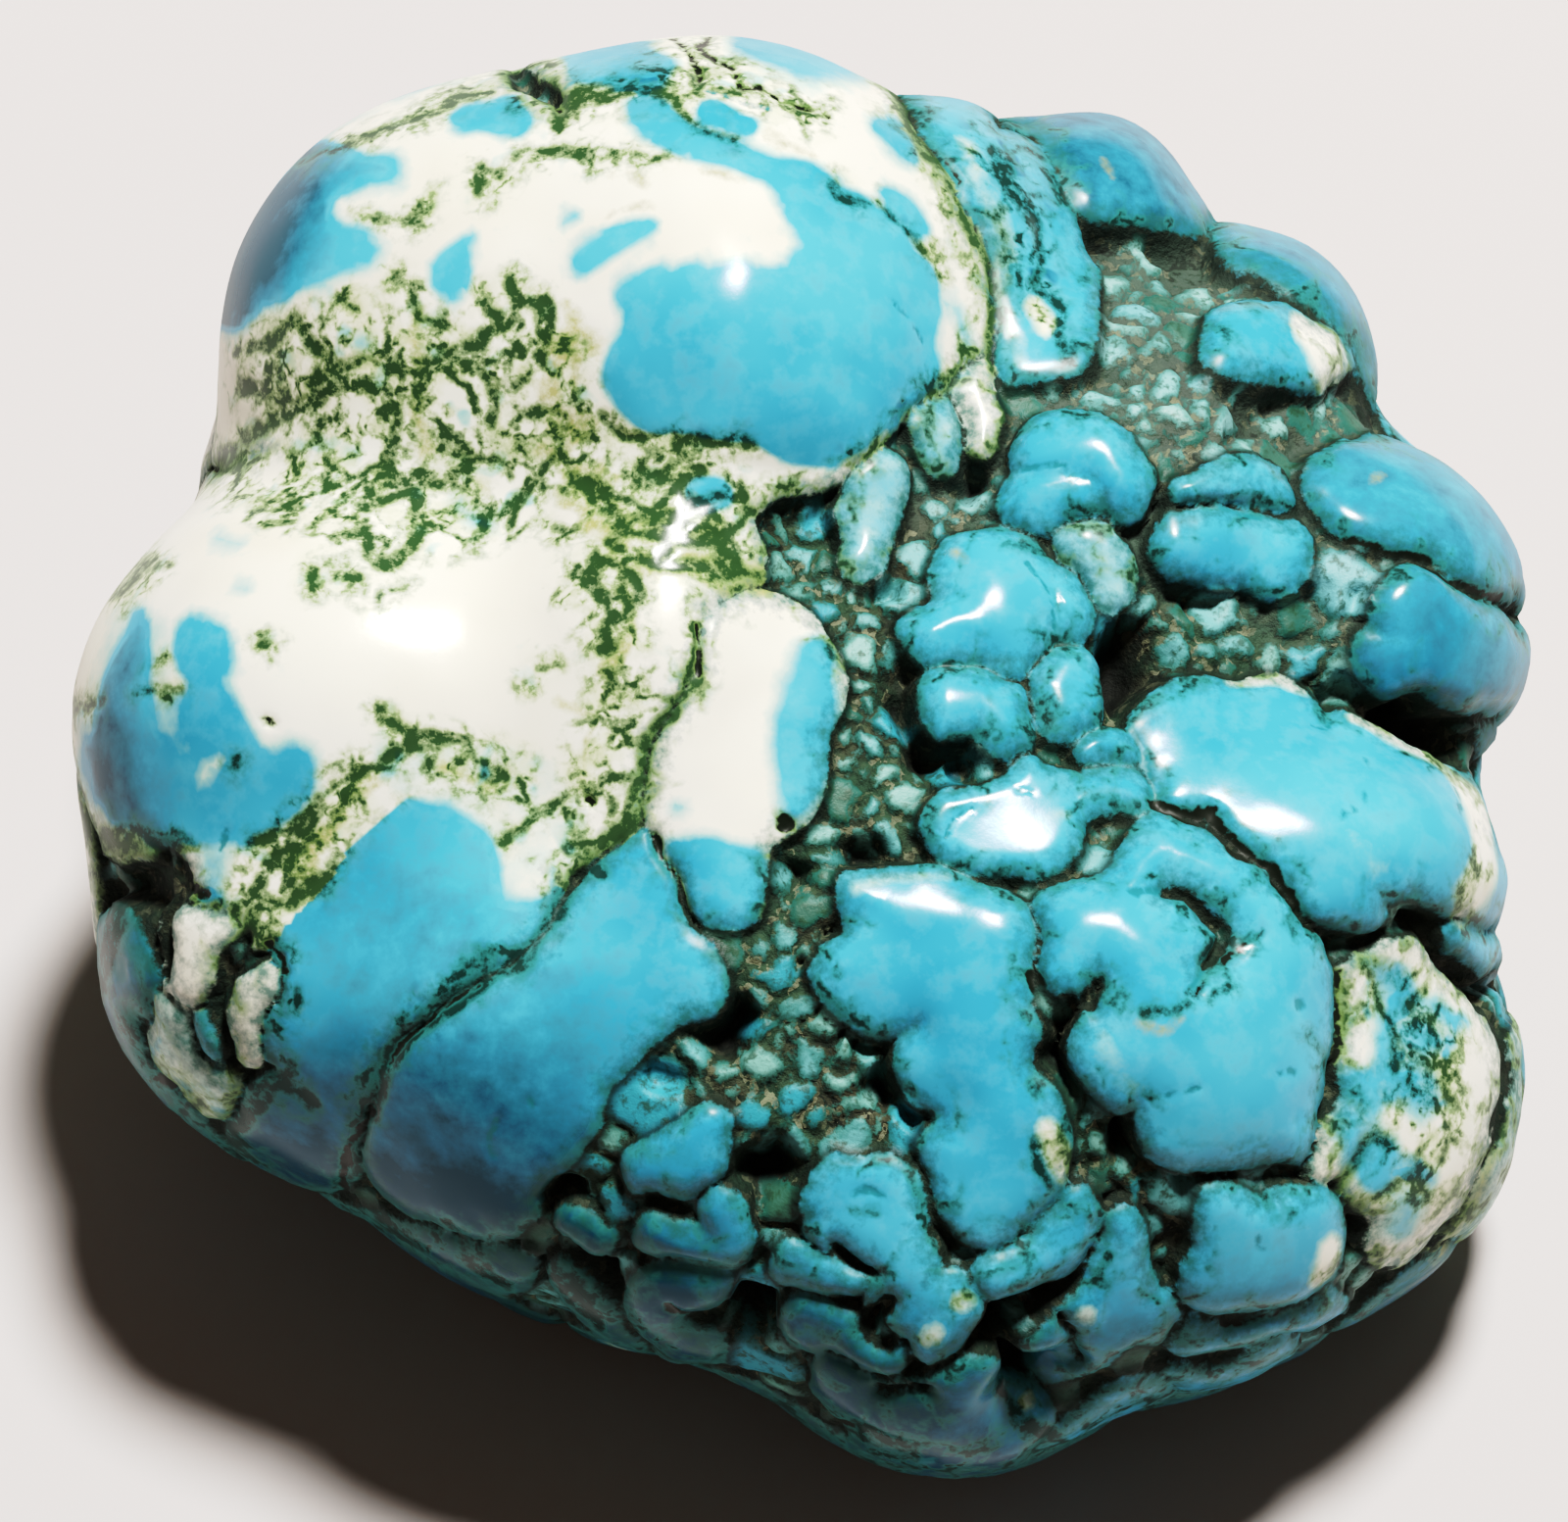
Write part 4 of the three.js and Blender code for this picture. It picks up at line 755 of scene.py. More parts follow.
def curved(points, closed):
    """The points with a smooth curve run through them, four steps to a span."""
    points = np.array(points, float)
    if len(points) < 3:
        return points
    if closed:
        before, after, beyond = (np.roll(points, by, axis=0) for by in (1, -1, -2))
        start = points
    else:
        padded = np.vstack([2 * points[0] - points[1], points, 2 * points[-1] - points[-2]])
        before, start, after, beyond = padded[:-3], padded[1:-2], padded[2:-1], padded[3:]
    rows = []
    for t in np.linspace(0, 1, 4, endpoint=False):
        rows.append(0.5 * (
            2 * start + (after - before) * t
            + (2 * before - 5 * start + 4 * after - beyond) * t ** 2
            + (3 * start - before - 3 * after + beyond) * t ** 3))
    line = np.stack(rows, axis=1).reshape(-1, points.shape[1])
    return line if closed else np.vstack([line, points[-1]])


def along(places, start, end):
    """For each place and span: how far along the span it lies, from 0 to 1, and how far off it."""
    step = end - start
    length = np.maximum((step ** 2).sum(1), 1e-12)
    offset = places[:, None, :] - start[None]
    share = np.clip((offset * step[None]).sum(2) / length, 0, 1)
    return share, np.linalg.norm(offset - share[..., None] * step[None], axis=2)


def reach_of_run(places, run):
    """How deep each place lies inside a rounded finger; below 0 outside."""
    line = curved(run, False)
    if len(line) == 1:
        line = np.vstack([line, line])
    share, off = along(places, line[:-1, :-1], line[1:, :-1])
    radius = line[:-1, -1] + share * (line[1:, -1] - line[:-1, -1])
    return (radius - off).max(1)


def reach_of_edge(places, edge):
    """How deep each place lies inside a closed outline; below 0 outside."""
    start = curved(edge, True)
    end = np.roll(start, -1, axis=0)
    off = along(places, start, end)[1].min(1)
    u, v = places[:, :1], places[:, 1:]
    rises = (start[:, 1] > v) != (end[:, 1] > v)
    height = np.where(end[:, 1] == start[:, 1], 1e-9, end[:, 1] - start[:, 1])
    crossing = start[:, 0] + (v - start[:, 1]) / height * (end[:, 0] - start[:, 0])
    inside = (rises & (u < crossing)).sum(1) % 2 == 1
    return np.where(inside, off, -off)


def reach_over(places, form, shape, margin=FAR):
    """The places near a shape, and how deep each lies inside it."""
    shape = np.array(shape, float)
    spread = shape[:, 2].max() if form == "run" else 0.5
    low, high = shape[:, :2].min(0) - spread - margin, shape[:, :2].max(0) + spread + margin
    near = np.flatnonzero(((places > low) & (places < high)).all(1))
    measure = reach_of_run if form == "run" else reach_of_edge
    return near, measure(places[near], shape)


def cast_skin(cad):
    """The CAD solid's surface as an even net of small triangles, in millimetres, its facets smoothed."""
    ball = bmesh.new()
    bmesh.ops.create_icosphere(ball, subdivisions=SKIN_LEVEL, radius=1)
    ball.verts.index_update()
    rays = np.array([v.co for v in ball.verts])
    faces = np.array([[v.index for v in f.verts] for f in ball.faces])
    ball.free()
    mesh = cad.data
    solid = BVHTree.FromPolygons([v.co / MM for v in mesh.vertices], [p.vertices for p in mesh.polygons])
    centre = Vector(FACE_CENTRE)
    points = np.array([
        solid.ray_cast(centre + Vector(ray) * OUTSIDE, -Vector(ray))[0] or centre for ray in rays])
    edges = np.vstack([faces[:, [0, 1]], faces[:, [1, 2]], faces[:, [2, 0]]])
    count = np.bincount(edges[:, 0], minlength=len(points))[:, None]
    for _ in range(SMOOTHING):
        total = np.stack([
            np.bincount(edges[:, 0], points[edges[:, 1], axis], minlength=len(points))
            for axis in range(3)], axis=1)
        points = points * 0.4 + total / count * 0.6
    return points, faces


def face_places(points):
    """Points in the big face's own axes: across, up its slope and out of it."""
    return (points - FACE_CENTRE) @ np.stack([ACROSS, UP, OUT], axis=1)


def measure_rim(points):
    """For each bearing round the face: how far out its rim shows, and the angle at which it turns away."""
    local = face_places(points)
    scale = EYE_RANGE / (EYE_RANGE - local[:, 2])
    spread = np.hypot(local[:, 0], local[:, 1]) * scale
    bearing = np.arctan2(local[:, 1], local[:, 0])
    tilt = np.arctan2(np.hypot(local[:, 0], local[:, 1]), local[:, 2])
    at = ((bearing + math.pi) / (2 * math.pi) * RIM_STEPS).astype(int) % RIM_STEPS
    order = np.lexsort((spread, at))
    last = order[np.flatnonzero(np.diff(np.append(at[order], RIM_STEPS)))]
    angle = (at[last] + 0.5) / RIM_STEPS * 2 * math.pi - math.pi
    blur = np.ones(7) / 7
    turn = np.convolve(np.pad(tilt[last], 3, mode="wrap"), blur, "valid")
    return angle, spread[last], turn


def plan_places(points, rim):
    """Where each point of the skin lies on the plan, and how far it is turned past the rim."""
    angle, spread, turn = rim
    local = face_places(points)
    flat = np.hypot(local[:, 0], local[:, 1])
    scale = EYE_RANGE / (EYE_RANGE - local[:, 2])
    bearing = np.arctan2(local[:, 1], local[:, 0])
    tilt = np.arctan2(flat, local[:, 2])
    edge = np.interp(bearing, angle, spread, period=2 * math.pi)
    bend = np.interp(bearing, angle, turn, period=2 * math.pi)
    beyond = np.linalg.norm(local, axis=1) * (tilt - bend)
    reach = np.where(tilt < bend, np.minimum(flat * scale, edge), edge + beyond)
    return np.stack([np.cos(bearing) * reach, np.sin(bearing) * reach], axis=1), tilt - bend


def vertex_normals(points, faces):
    """The skin's outward direction at each point."""
    a, b, c = points[faces[:, 0]], points[faces[:, 1]], points[faces[:, 2]]
    face = np.cross(b - a, c - a)
    total = np.stack([
        sum(np.bincount(faces[:, k], face[:, axis], minlength=len(points)) for k in range(3))
        for axis in range(3)], axis=1)
    return total / np.maximum(np.linalg.norm(total, axis=1, keepdims=True), 1e-12)


def split_edges(points, faces, wanted):
    """Halves each edge that is wanted and shares its triangles out, so the net stays closed."""
    sides = np.sort(faces[:, [[0, 1], [1, 2], [2, 0]]].reshape(-1, 2), axis=1)
    keys, which = np.unique(sides[:, 0] * len(points) + sides[:, 1], return_inverse=True)
    ends = np.stack([keys // len(points), keys % len(points)], axis=1)
    split = wanted(ends)
    middle = np.full(len(ends), -1)
    middle[split] = len(points) + np.arange(split.sum())
    points = np.vstack([points, points[ends[split]].mean(1)])
    cut = middle[which.reshape(-1, 3)]
    count = (cut >= 0).sum(1)
    made = [faces[count == 0]]
    for turn in range(3):
        a, b, c = (faces[:, (turn + k) % 3] for k in range(3))
        ab, bc, ca = (cut[:, (turn + k) % 3] for k in range(3))
        one = (count == 1) & (ab >= 0)
        two = (count == 2) & (ab < 0)
        made += [np.stack(t, axis=1)[one] for t in ((a, ab, c), (ab, b, c))]
        made += [np.stack(t, axis=1)[two] for t in ((c, ca, bc), (a, b, bc), (a, bc, ca))]
    three = count == 3
    a, b, c = faces[three].T
    ab, bc, ca = cut[three].T
    made += [np.stack(t, axis=1) for t in ((a, ab, ca), (ab, b, bc), (ca, bc, c), (ab, bc, ca))]
    return points, np.vstack(made)


def seed_growths(points, plan, past, rng):
    """Places for the growths of the sides, back and underside: each a pair of ends, a radius and a tint."""
    held = growth_reach(points, plan, past, [])["reach"]
    free = np.flatnonzero((held < -0.9) & (past > 0.02))
    rng.shuffle(free)
    seeds = []
    for at in free:
        size = rng.uniform(*SEED_SIZES)
        centre = points[at]
        if all(np.linalg.norm(centre - s[0]) > SEED_GAP * (size + s[2]) for s in seeds):
            swing = rng.normal(size=3)
            swing *= rng.uniform(0.3, 0.9) * size / np.linalg.norm(swing)
            tint = rng.choice([BLUE, BLUE, BLUE, PALE, WHITE, WHITE])
            seeds.append((centre, centre + swing, size, tint if centre[2] > BLUE_BELOW else BLUE))
        if len(seeds) > MOST_SEEDS:
            break
    return seeds


def growth_reach(points, plan, past, seeds):
    """How deep each point lies inside its growth, measured to the nearer of its edge and its neighbour's,
    and which growth that is, with every growth's bulge and shoulder and each point's tint."""
    best = np.full(len(points), -FAR)
    second = np.full(len(points), -FAR)
    owner = np.full(len(points), -1)
    groups = {name: number for number, name in enumerate(dict.fromkeys(g[0] for g in GROWTHS))}
    form = np.zeros((len(groups) + len(seeds), 2))
    fields = {}
    for name, tint, bulge, shoulder, kind, shape in GROWTHS:
        near, reach = reach_over(plan, kind, shape)
        field, tints = fields.setdefault(name, (np.full(len(points), -FAR), np.full(len(points), tint)))
        higher = reach > field[near]
        field[near[higher]] = reach[higher]
        tints[near[higher]] = tint
        form[groups[name]] = bulge, shoulder
    tints = np.full(len(points), WHITE)
    for name, (field, own) in fields.items():
        ahead = field > best
        second = np.where(ahead, best, np.maximum(second, field))
        best = np.where(ahead, field, best)
        owner[ahead] = groups[name]
        tints[ahead] = own[ahead]
    for number, (start, end, size, tint) in enumerate(seeds, len(groups)):
        off = along(points, start[None], end[None])[1][:, 0]
        reach = np.minimum(size * 1.15 - off, 0.8 + past * 14)
        ahead = (reach > best) & (reach > -FAR)
        second = np.where(ahead, best, np.maximum(second, reach))
        best = np.where(ahead, reach, best)
        owner[ahead] = number
        tints[ahead] = tint
        form[number] = SEED_BULGE, min(2.2, 0.6 * size)
    reach = np.minimum(best + SPREAD, (best - second) / 2)
    for run in GAPS:
        near, inside = reach_over(plan, "run", run)
        reach[near] = np.minimum(reach[near], -inside)
    return {"reach": reach, "owner": owner, "form": form, "tint": tints}


def tint_growths(points, plan, tints):
    """The growths' tints with the patches laid in, and painted shade over the flanks and the low side."""
    tint = tints.copy()
    for value, soft, kind, shape in PATCHES:
        near, reach = reach_over(plan, kind, shape, 1.0)
        share = ramp(reach, -soft, soft)
        tint[near] += (value - tint[near]) * share
    # painted shade over the flanks, the lobes and the low rim
    for value, soft, shape in PAINTED_SHADES:
        near, reach = reach_over(plan, "run", shape, 3.0)
        share = ramp(reach, -soft, soft) * ramp(tint[near], 0.5, 0.8)
        tint[near] += np.maximum(value - tint[near], 0) * share
    # painted shade: the turquoise grows darker towards the bottom of the stone, more so on the left
    low = ramp(-points[:, 2] - 0.12 * np.minimum(plan[:, 0], 0), -10.5, -3) * (tint > 0.5)
    tint += 0.6 * low
    return tint


def trace_veins(points, plan):
    """How strong each kind of vein is at each point, how near the closest border of a vein lies, and the
    halo of moss round the green ones."""
    veins = {kind: np.zeros(len(points)) for kind in VEIN_SOFTNESS}
    close = np.full(len(points), FAR)
    halo = np.zeros(len(points))
    swing = 0.5 * ripple(points, 1.3, 51) + 0.5 * ripple(points, 0.5, 52)
    for kind, width, line in VEINS:
        soft = VEIN_SOFTNESS[kind]
        run = [(u, v, width) for u, v in line]
        near, reach = reach_over(plan, "run", run, 1.0)
        reach = reach + 1.1 * width * swing[near]
        veins[kind][near] = np.maximum(veins[kind][near], ramp(reach, -soft, soft))
        close[near] = np.minimum(close[near], np.abs(reach))
        if kind == "moss":
            halo[near] = np.maximum(halo[near], ramp(reach, -0.8, 0.1))
    return veins, close, halo


def lay_out(points, rim, seeds):
    """Everything the stone is at each point of the skin."""
    flat, past = plan_places(points, rim)
    wander = np.stack([
        0.15 * ripple(points, 0.9, seed) + 0.24 * ripple(points, 2.6, seed + 5) for seed in (1, 2)], axis=1)
    plan = flat + wander
    found = growth_reach(points, plan, past, seeds)
    ragged = np.where(past > 0, 0.12 * ripple(points, 4.0, 8) + 0.05, 0)
    slack = 0.03 + 0.07 * ripple(points, 1.9, 9) + ragged
    found["reach"] = found["reach"] - slack
    found["plan"], found["past"] = plan, past
    tint = tint_growths(points, plan, found["tint"])
    back = ramp(past, 0.03, 0.2)
    clouds = ramp(ripple(points, 5.5, 21) + 0.5 * ripple(points, 2.1, 22), 0.15, 0.45)
    found["tint"] = tint + (np.where(tint > 0.5, 0.1, 0.95) - tint) * back * clouds
    veins, found["vein_gap"], halo = trace_veins(points, plan)
    found.update(veins)
    ground = np.full(len(points), -FAR)
    for run in MOSSY_GROUND:
        near, reach = reach_over(plan, "run", run)
        ground[near] = np.maximum(ground[near], reach)
    near_matrix = ramp(-found["reach"], -1.3, -0.2) * (found["owner"] == 0)
    found["ground"] = np.maximum.reduce([
        ramp(ground, -0.8, 0.8), near_matrix, 0.8 * back, halo * np.where(tint > 0.6, 0.45, 0.85)])
    # a fine web of veins runs over the buds, most at the right, and over the crown's right edge
    crown_edge = ramp(plan[:, 0], -1, 3) * ramp(plan[:, 1], 5, 8)
    found["webbed"] = np.where(
        found["owner"] > 0, np.maximum(ramp(plan[:, 0], -12, 2), back), np.maximum(crown_edge, 0.3 * back))
    pit = np.zeros(len(points))
    for u, v, radius, depth in PITS:
        off = np.linalg.norm(flat + 2.2 * wander - (u, v), axis=1)
        pit = np.maximum(pit, 0.8 * depth * ramp(-off, -radius * 1.5, -radius * 0.3))
    found["pit"] = pit
    found["matrix_drop"] = MATRIX_DROP + 0.25 * ripple(points, 3.7, 31) + back * 0.35
    # painted light: the matrix and its pebbles turn paler towards the upper right, where the lamp falls
    found["painted_upper_light"] = ramp(plan[:, 1] + 0.3 * plan[:, 0], 7, 11) * (1 - back)
    return found


def scatter_pebbles(points, found, rng):
    """Pebbles in the matrix: those with a known place, then ever smaller ones in what room is left."""
    flat_near = KDTree(len(points))
    for number, (u, v) in enumerate(found["plan"]):
        flat_near.insert((u, v, OUTSIDE if found["past"][number] > 0 else 0.0), number)
    flat_near.balance()
    room = -found["reach"]
    room[found["pit"] > 0.35] = -1.0
    set_in = []

    def settle(centre, radius, tint):
        set_in.append((centre, radius, tint))
        touched = np.linalg.norm(points - centre, axis=1)
        np.minimum(room, touched - radius * 0.9, out=room)

    for u, v, radius, tint in PEBBLES:
        settle(points[flat_near.find((u, v, 0))[1]], radius, tint)
    for radius, kept, tints in PEBBLE_SIZES:
        clear = radius * (0.85 if radius > BIG_PEBBLE else 0.62)
        high = (found["plan"][:, 1] > BIG_PEBBLE_TOP) & (found["past"] < 0)
        barred = high & (radius > BIG_PEBBLE)
        free = np.flatnonzero((room > clear) & ~barred)
        rng.shuffle(free)
        for at in free:
            if room[at] > clear:
                size = radius * rng.uniform(0.8, 1.2)
                if rng.random() < kept:
                    settle(points[at], size, rng.choice(tints))
                else:
                    near = np.linalg.norm(points - points[at], axis=1)
                    np.minimum(room, near - size * 0.5, out=room)
    return set_in


def settle_pebbles(points, pebbles):
    """How deep each point lies inside its pebble, and the pebble's tint and radius."""
    tree = KDTree(len(points))
    wobble = np.stack([
        0.34 * ripple(points, 0.9, seed) + 0.14 * ripple(points, 0.4, seed + 5)
        for seed in (61, 62, 63)], axis=1)
    for number, point in enumerate(points + wobble):
        tree.insert(point, number)
    tree.balance()
    best = np.full(len(points), -0.5)
    second = np.full(len(points), -0.5)
    tints = np.zeros(len(points))
    sizes = np.zeros(len(points))
    for centre, radius, tint in pebbles:
        for _, at, off in tree.find_range(Vector(centre), radius * PEBBLE_SPREAD + 0.1):
            reach = radius * PEBBLE_SPREAD - off
            if reach > best[at]:
                second[at] = best[at]
                best[at] = reach
                tints[at] = tint
                sizes[at] = radius
            elif reach > second[at]:
                second[at] = reach
    return np.minimum(best, (best - second) / 2) - 0.03, tints, sizes


def domed(share):
    """The height of a rounded shoulder: 0 at its foot and 1 once past its top."""
    share = np.clip(share, 0, 1)
    return np.sqrt(1 - (1 - share) ** 2)


def sculpt(points, faces, found, pebble):
    """Moves the skin in and out: domes, swells and pebbles up, matrix and pits down, veins slightly sunk."""
    reach, owner = found["reach"], found["owner"]
    form = found["form"][owner]
    swelling = form[:, 0] * np.sin(0.5 * math.pi * np.clip(reach / (1.2 * form[:, 1]), 0, 1))
    inside = -EDGE_DROP * (1 - domed((reach + 0.05) / 0.75)) + 0.5 * swelling
    drop = found["matrix_drop"] + found["pit"]
    sunk = -EDGE_DROP - (drop - EDGE_DROP) * ramp(-reach, 0, WALL + 0.25 * found["pit"])
    height = np.where(reach > 0, inside, sunk)
    inset, _, size = pebble
    rise = np.minimum(PEBBLE_RISE * size + 0.05, np.maximum(drop - 0.2, 0))
    lift = rise * domed(inset / np.maximum(0.5 * size, 0.05)) * ramp(-reach, -0.05, 0.1)
    height = height + np.where(inset > 0, lift, 0)
    polish = ramp(reach, 0.2, 1.2)
    height += polish * (0.07 * ripple(points, 3.4, 41) + 0.02 * ripple(points, 1.1, 42))
    height -= 0.12 * found["seam"] + 0.04 * found["moss"] + 0.05 * found["hair"]
    for u, v, radius, rise in SWELLS:
        off = np.linalg.norm(found["plan"] - (u, v), axis=1)
        height += rise * np.cos(0.5 * math.pi * np.clip(off / radius, 0, 1)) ** 2 * ramp(reach, -1.0, 0.0)
    height = (height + SKIN_SWELL) * ramp(points[:, 2], 0.0, 1.2)
    moved = points + vertex_normals(points, faces) * height[:, None]
    moved[:, 2] = np.maximum(moved[:, 2], 0.0)
    return moved, height


def build_skin(cad):
    """The finished skin: points, triangles and what the stone is at each point."""
    rng = np.random.default_rng(SEED)
    points, faces = cast_skin(cad)
    points[:, 2] = np.maximum(points[:, 2], 0.0)
    rim = measure_rim(points)
    flat, past = plan_places(points, rim)
    seeds = seed_growths(points, flat, past, rng)
    found = lay_out(points, rim, seeds)
    near = (found["past"] < 0.12) & ((found["reach"] < 0.9) | (found["vein_gap"] < 0.5))
    points, faces = split_edges(points, faces, lambda ends: near[ends].any(1))
    found = lay_out(points, rim, seeds)
    # the finest cut goes to borders and veins, as far as the count of triangles allows
    fine = (found["past"] < -0.02) & ((np.abs(found["reach"]) < 0.2) | (found["vein_gap"] < 0.16))
    room = (TRIANGLES - len(faces)) / max(1, 3.3 * np.count_nonzero(fine))
    chosen = fine & (rng.random(len(points)) < room if room < 1 else True)
    points, faces = split_edges(points, faces, lambda ends: chosen[ends].all(1))
    found = lay_out(points, rim, seeds)
    pebble = settle_pebbles(points, scatter_pebbles(points, found, rng))
    moved, height = sculpt(points, faces, found, pebble)
    found["pebble"], found["height"] = pebble, height
    return moved, faces, found


def write_skin(points, faces, found):
    """The skin as a Blender mesh, with what the stone is at each point kept as named values."""
    mesh = bpy.data.meshes.new("nugget_skin")
    mesh.from_pydata((points * MM).tolist(), [], faces.tolist())
    mesh.polygons.foreach_set("use_smooth", np.ones(len(faces), bool))
    inset, tints, _ = found["pebble"]
    found["reach"] = np.clip(found["reach"], -0.6, 2)
    found["inset"] = np.clip(inset, -0.2, 0.6)
    found["pebble_tint"] = tints
    # how far the skin is sunk, which the matrix's painted shade follows
    found["depth"] = np.clip(-found["height"] / 2.2, 0, 1)
    for name in STONE_VALUES:
        layer = mesh.attributes.new(name, "FLOAT", "POINT")
        layer.data.foreach_set("value", found[name].astype(np.float32))
    mesh.validate()
    mesh.update()
    return bpy.data.objects.new("raw_turquoise", mesh)


def add(tree, kind, inputs, out=0, **settings):
    """Adds one node and gives one of its outputs. An input is a value, a hex colour or another node's
    output. A MapRange takes its value, low, high, least and most as 0 to 4, and a Mix its share as 0, its
    values as 2 and 3 and its colours as 6 and 7."""
    made = tree.nodes.new("ShaderNode" + kind)
    for name, value in settings.items():
        setattr(made, name, value)
    for socket, value in inputs.items():
        if isinstance(value, bpy.types.NodeSocket):
            tree.links.new(value, made.inputs[socket])
        else:
            made.inputs[socket].default_value = linear(value) if isinstance(value, str) else value
    return made.outputs[out]


def lay(tree, colour, layers):
    """Lays colours over one another. Each covers from its least to its most as its value goes from low
    to high."""
    for value, low, high, least, most, over in layers:
        share = add(tree, "MapRange", {0: value, 1: low, 2: high, 3: least, 4: most})
        colour = add(tree, "Mix", {0: share, 6: colour, 7: over}, 2, data_type="RGBA")
    return colour


def read_stone(tree):
    """What the stone is at each point, and random swells and cells in it, by name."""
    stone = {}
    for name in STONE_VALUES:
        stone[name] = add(tree, "Attribute", {}, "Fac", attribute_name=name)
    place = add(tree, "TexCoord", {}, "Object")
    for name, size, detail, roughness in SWELL_SIZES:
        stone[name] = add(tree, "TexNoise", {
            "Vector": place, "Scale": 1 / (size * MM), "Detail": detail, "Roughness": roughness}, "Fac")
    bend = stone["drag"].node.outputs["Color"]
    bent = add(tree, "VectorMath", {0: bend, 1: (BEND * MM,) * 3, 2: place}, operation="MULTIPLY_ADD")
    for name, size in CELL_SIZES:
        stone[name] = add(tree, "TexVoronoi", {
            "Vector": bent, "Scale": 1 / (size * MM)}, "Distance", feature="DISTANCE_TO_EDGE")
    grain = add(tree, "TexVoronoi", {"Vector": bent, "Scale": 1 / (GRAIN * MM)}, "Color")
    stone["grain"], stone["fleck"], _ = add(tree, "SeparateColor", {0: grain}).node.outputs
    stone["jitter"] = add(tree, "Math", {0: stone["speck"], 1: 0.5}, operation="SUBTRACT")
    return stone


def grow_dendrites(tree, stone):
    """Moss: the drawn veins, and the broken walls of two sizes of cell in the mossy ground."""
    gate = add(tree, "MapRange", {0: stone["drag"], 1: 0.42, 2: 0.54})
    wide = add(tree, "MapRange", {0: stone["wide_cell"], 1: 0.02, 2: 0.16, 3: 1.0, 4: 0.0})
    narrow = add(tree, "MapRange", {0: stone["narrow_cell"], 1: 0.02, 2: 0.2, 3: 0.9, 4: 0.0})
    narrow = add(tree, "Math", {0: narrow, 1: gate}, operation="MULTIPLY")
    walls = add(tree, "Math", {0: wide, 1: narrow}, operation="MAXIMUM")
    thick = add(tree, "MapRange", {0: stone["mottle"], 1: 0.4, 2: 0.56, 3: 0.25, 4: 1.0})
    thick = add(tree, "Math", {0: stone["ground"], 1: thick}, operation="MULTIPLY")
    grown = add(tree, "Math", {0: walls, 1: thick}, operation="MULTIPLY")
    # a fine web of the wide walls lies where the blue nears the matrix
    web = add(tree, "MapRange", {0: stone["reach"], 1: 0.3, 2: 1.3, 3: 0.75, 4: 0.0})
    for share in (wide, gate, stone["webbed"]):
        web = add(tree, "Math", {0: web, 1: share}, operation="MULTIPLY")
    grown = add(tree, "Math", {0: grown, 1: web}, operation="MAXIMUM")
    return add(tree, "Math", {0: stone["moss"], 1: grown}, operation="MAXIMUM")


def polished_stone(tree, stone):
    """Waxy sky-blue turquoise in porcelain white, with green-black dendrites, stains and healed cracks."""
    tint = add(tree, "Math", {0: stone["mottle"], 1: 0.5}, operation="SUBTRACT")
    tint = add(tree, "Math", {0: tint, 1: 0.6, 2: stone["tint"]}, operation="MULTIPLY_ADD")
    # milky blue beads, about half a millimetre, are strewn through the mossy white
    beads = add(tree, "MapRange", {0: stone["bead"], 1: 0.58, 2: 0.68, 4: 0.45})
    tint = add(tree, "Math", {0: beads, 1: stone["ground"], 2: tint}, operation="MULTIPLY_ADD")
    share = add(tree, "MapRange", {0: tint, 1: 0.45, 2: 0.8})
    # past BLUE the tint runs into the painted shade colour
    blue = lay(tree, TURQUOISE_DEEP, [
        (stone["swell"], 0.36, 0.64, 0.0, 1.0, TURQUOISE_MID),
        (stone["mottle"], 0.45, 0.75, 0.0, 0.28, TURQUOISE_LIGHT),
        (tint, 1.05, 1.5, 0.0, 1.0, TURQUOISE_PAINTED_SHADE)])
    fringe = lay(tree, MOSS_GREEN, [(share, 0.0, 1.0, 0.0, 1.0, VEIN_TEAL)])
    thread = lay(tree, MOSS_DARK, [(share, 0.0, 1.0, 0.0, 1.0, VEIN_DARK)])
    # a yellow-green wash lies over the mossy ground, thinner on the blue
    wash = add(tree, "MapRange", {0: stone["drag"], 1: 0.42, 2: 0.62, 4: 0.6})
    thin = add(tree, "MapRange", {0: tint, 1: 0.3, 2: 0.9, 3: 1.0, 4: 0.2})
    for part in (stone["ground"], thin):
        wash = add(tree, "Math", {0: wash, 1: part}, operation="MULTIPLY")
    # the lip: a green moss border with painted shade along each growth's edge, where it runs down into the
    # matrix
    lip = add(tree, "Math", {0: stone["jitter"], 1: 1.6, 2: stone["reach"]}, operation="MULTIPLY_ADD")
    stain = add(tree, "Math", {0: stone["stain"], 1: stone["speck"]}, operation="MULTIPLY")
    # specks break up the borders of the veins
    veins = []
    for vein, broken in ((grow_dendrites(tree, stone), 3.4), (stone["hair"], 2.0), (stone["seam"], 2.0)):
        rough = add(tree, "Math", {0: stone["jitter"], 1: vein}, operation="MULTIPLY")
        veins.append(add(tree, "Math", {0: rough, 1: broken, 2: vein}, operation="MULTIPLY_ADD"))
    moss, hair, seam = veins
    return lay(tree, PORCELAIN, [
        (stone["swell"], 0.5, 0.7, 0.0, 0.5, PORCELAIN_WARM),
        (tint, 0.08, 0.5, 0.0, 1.0, TURQUOISE_MILKY),
        (share, 0.0, 1.0, 0.0, 1.0, blue),
        (wash, 0.0, 1.0, 0.0, 1.0, MOSS_WASH),
        (lip, 0.0, 0.7, 0.85, 0.0, EDGE_MOSS_AND_SHADE),
        (stain, 0.16, 0.6, 0.0, 0.85, OLIVE),
        (moss, 0.05, 0.45, 0.0, 0.8, fringe),
        (moss, 0.38, 0.85, 0.0, 0.94, thread),
        (hair, 0.25, 0.75, 0.0, 0.85, HEALED),
        (seam, 0.15, 0.5, 0.0, 0.7, fringe),
        (seam, 0.42, 0.7, 0.0, 1.0, SEAM_DARK)])


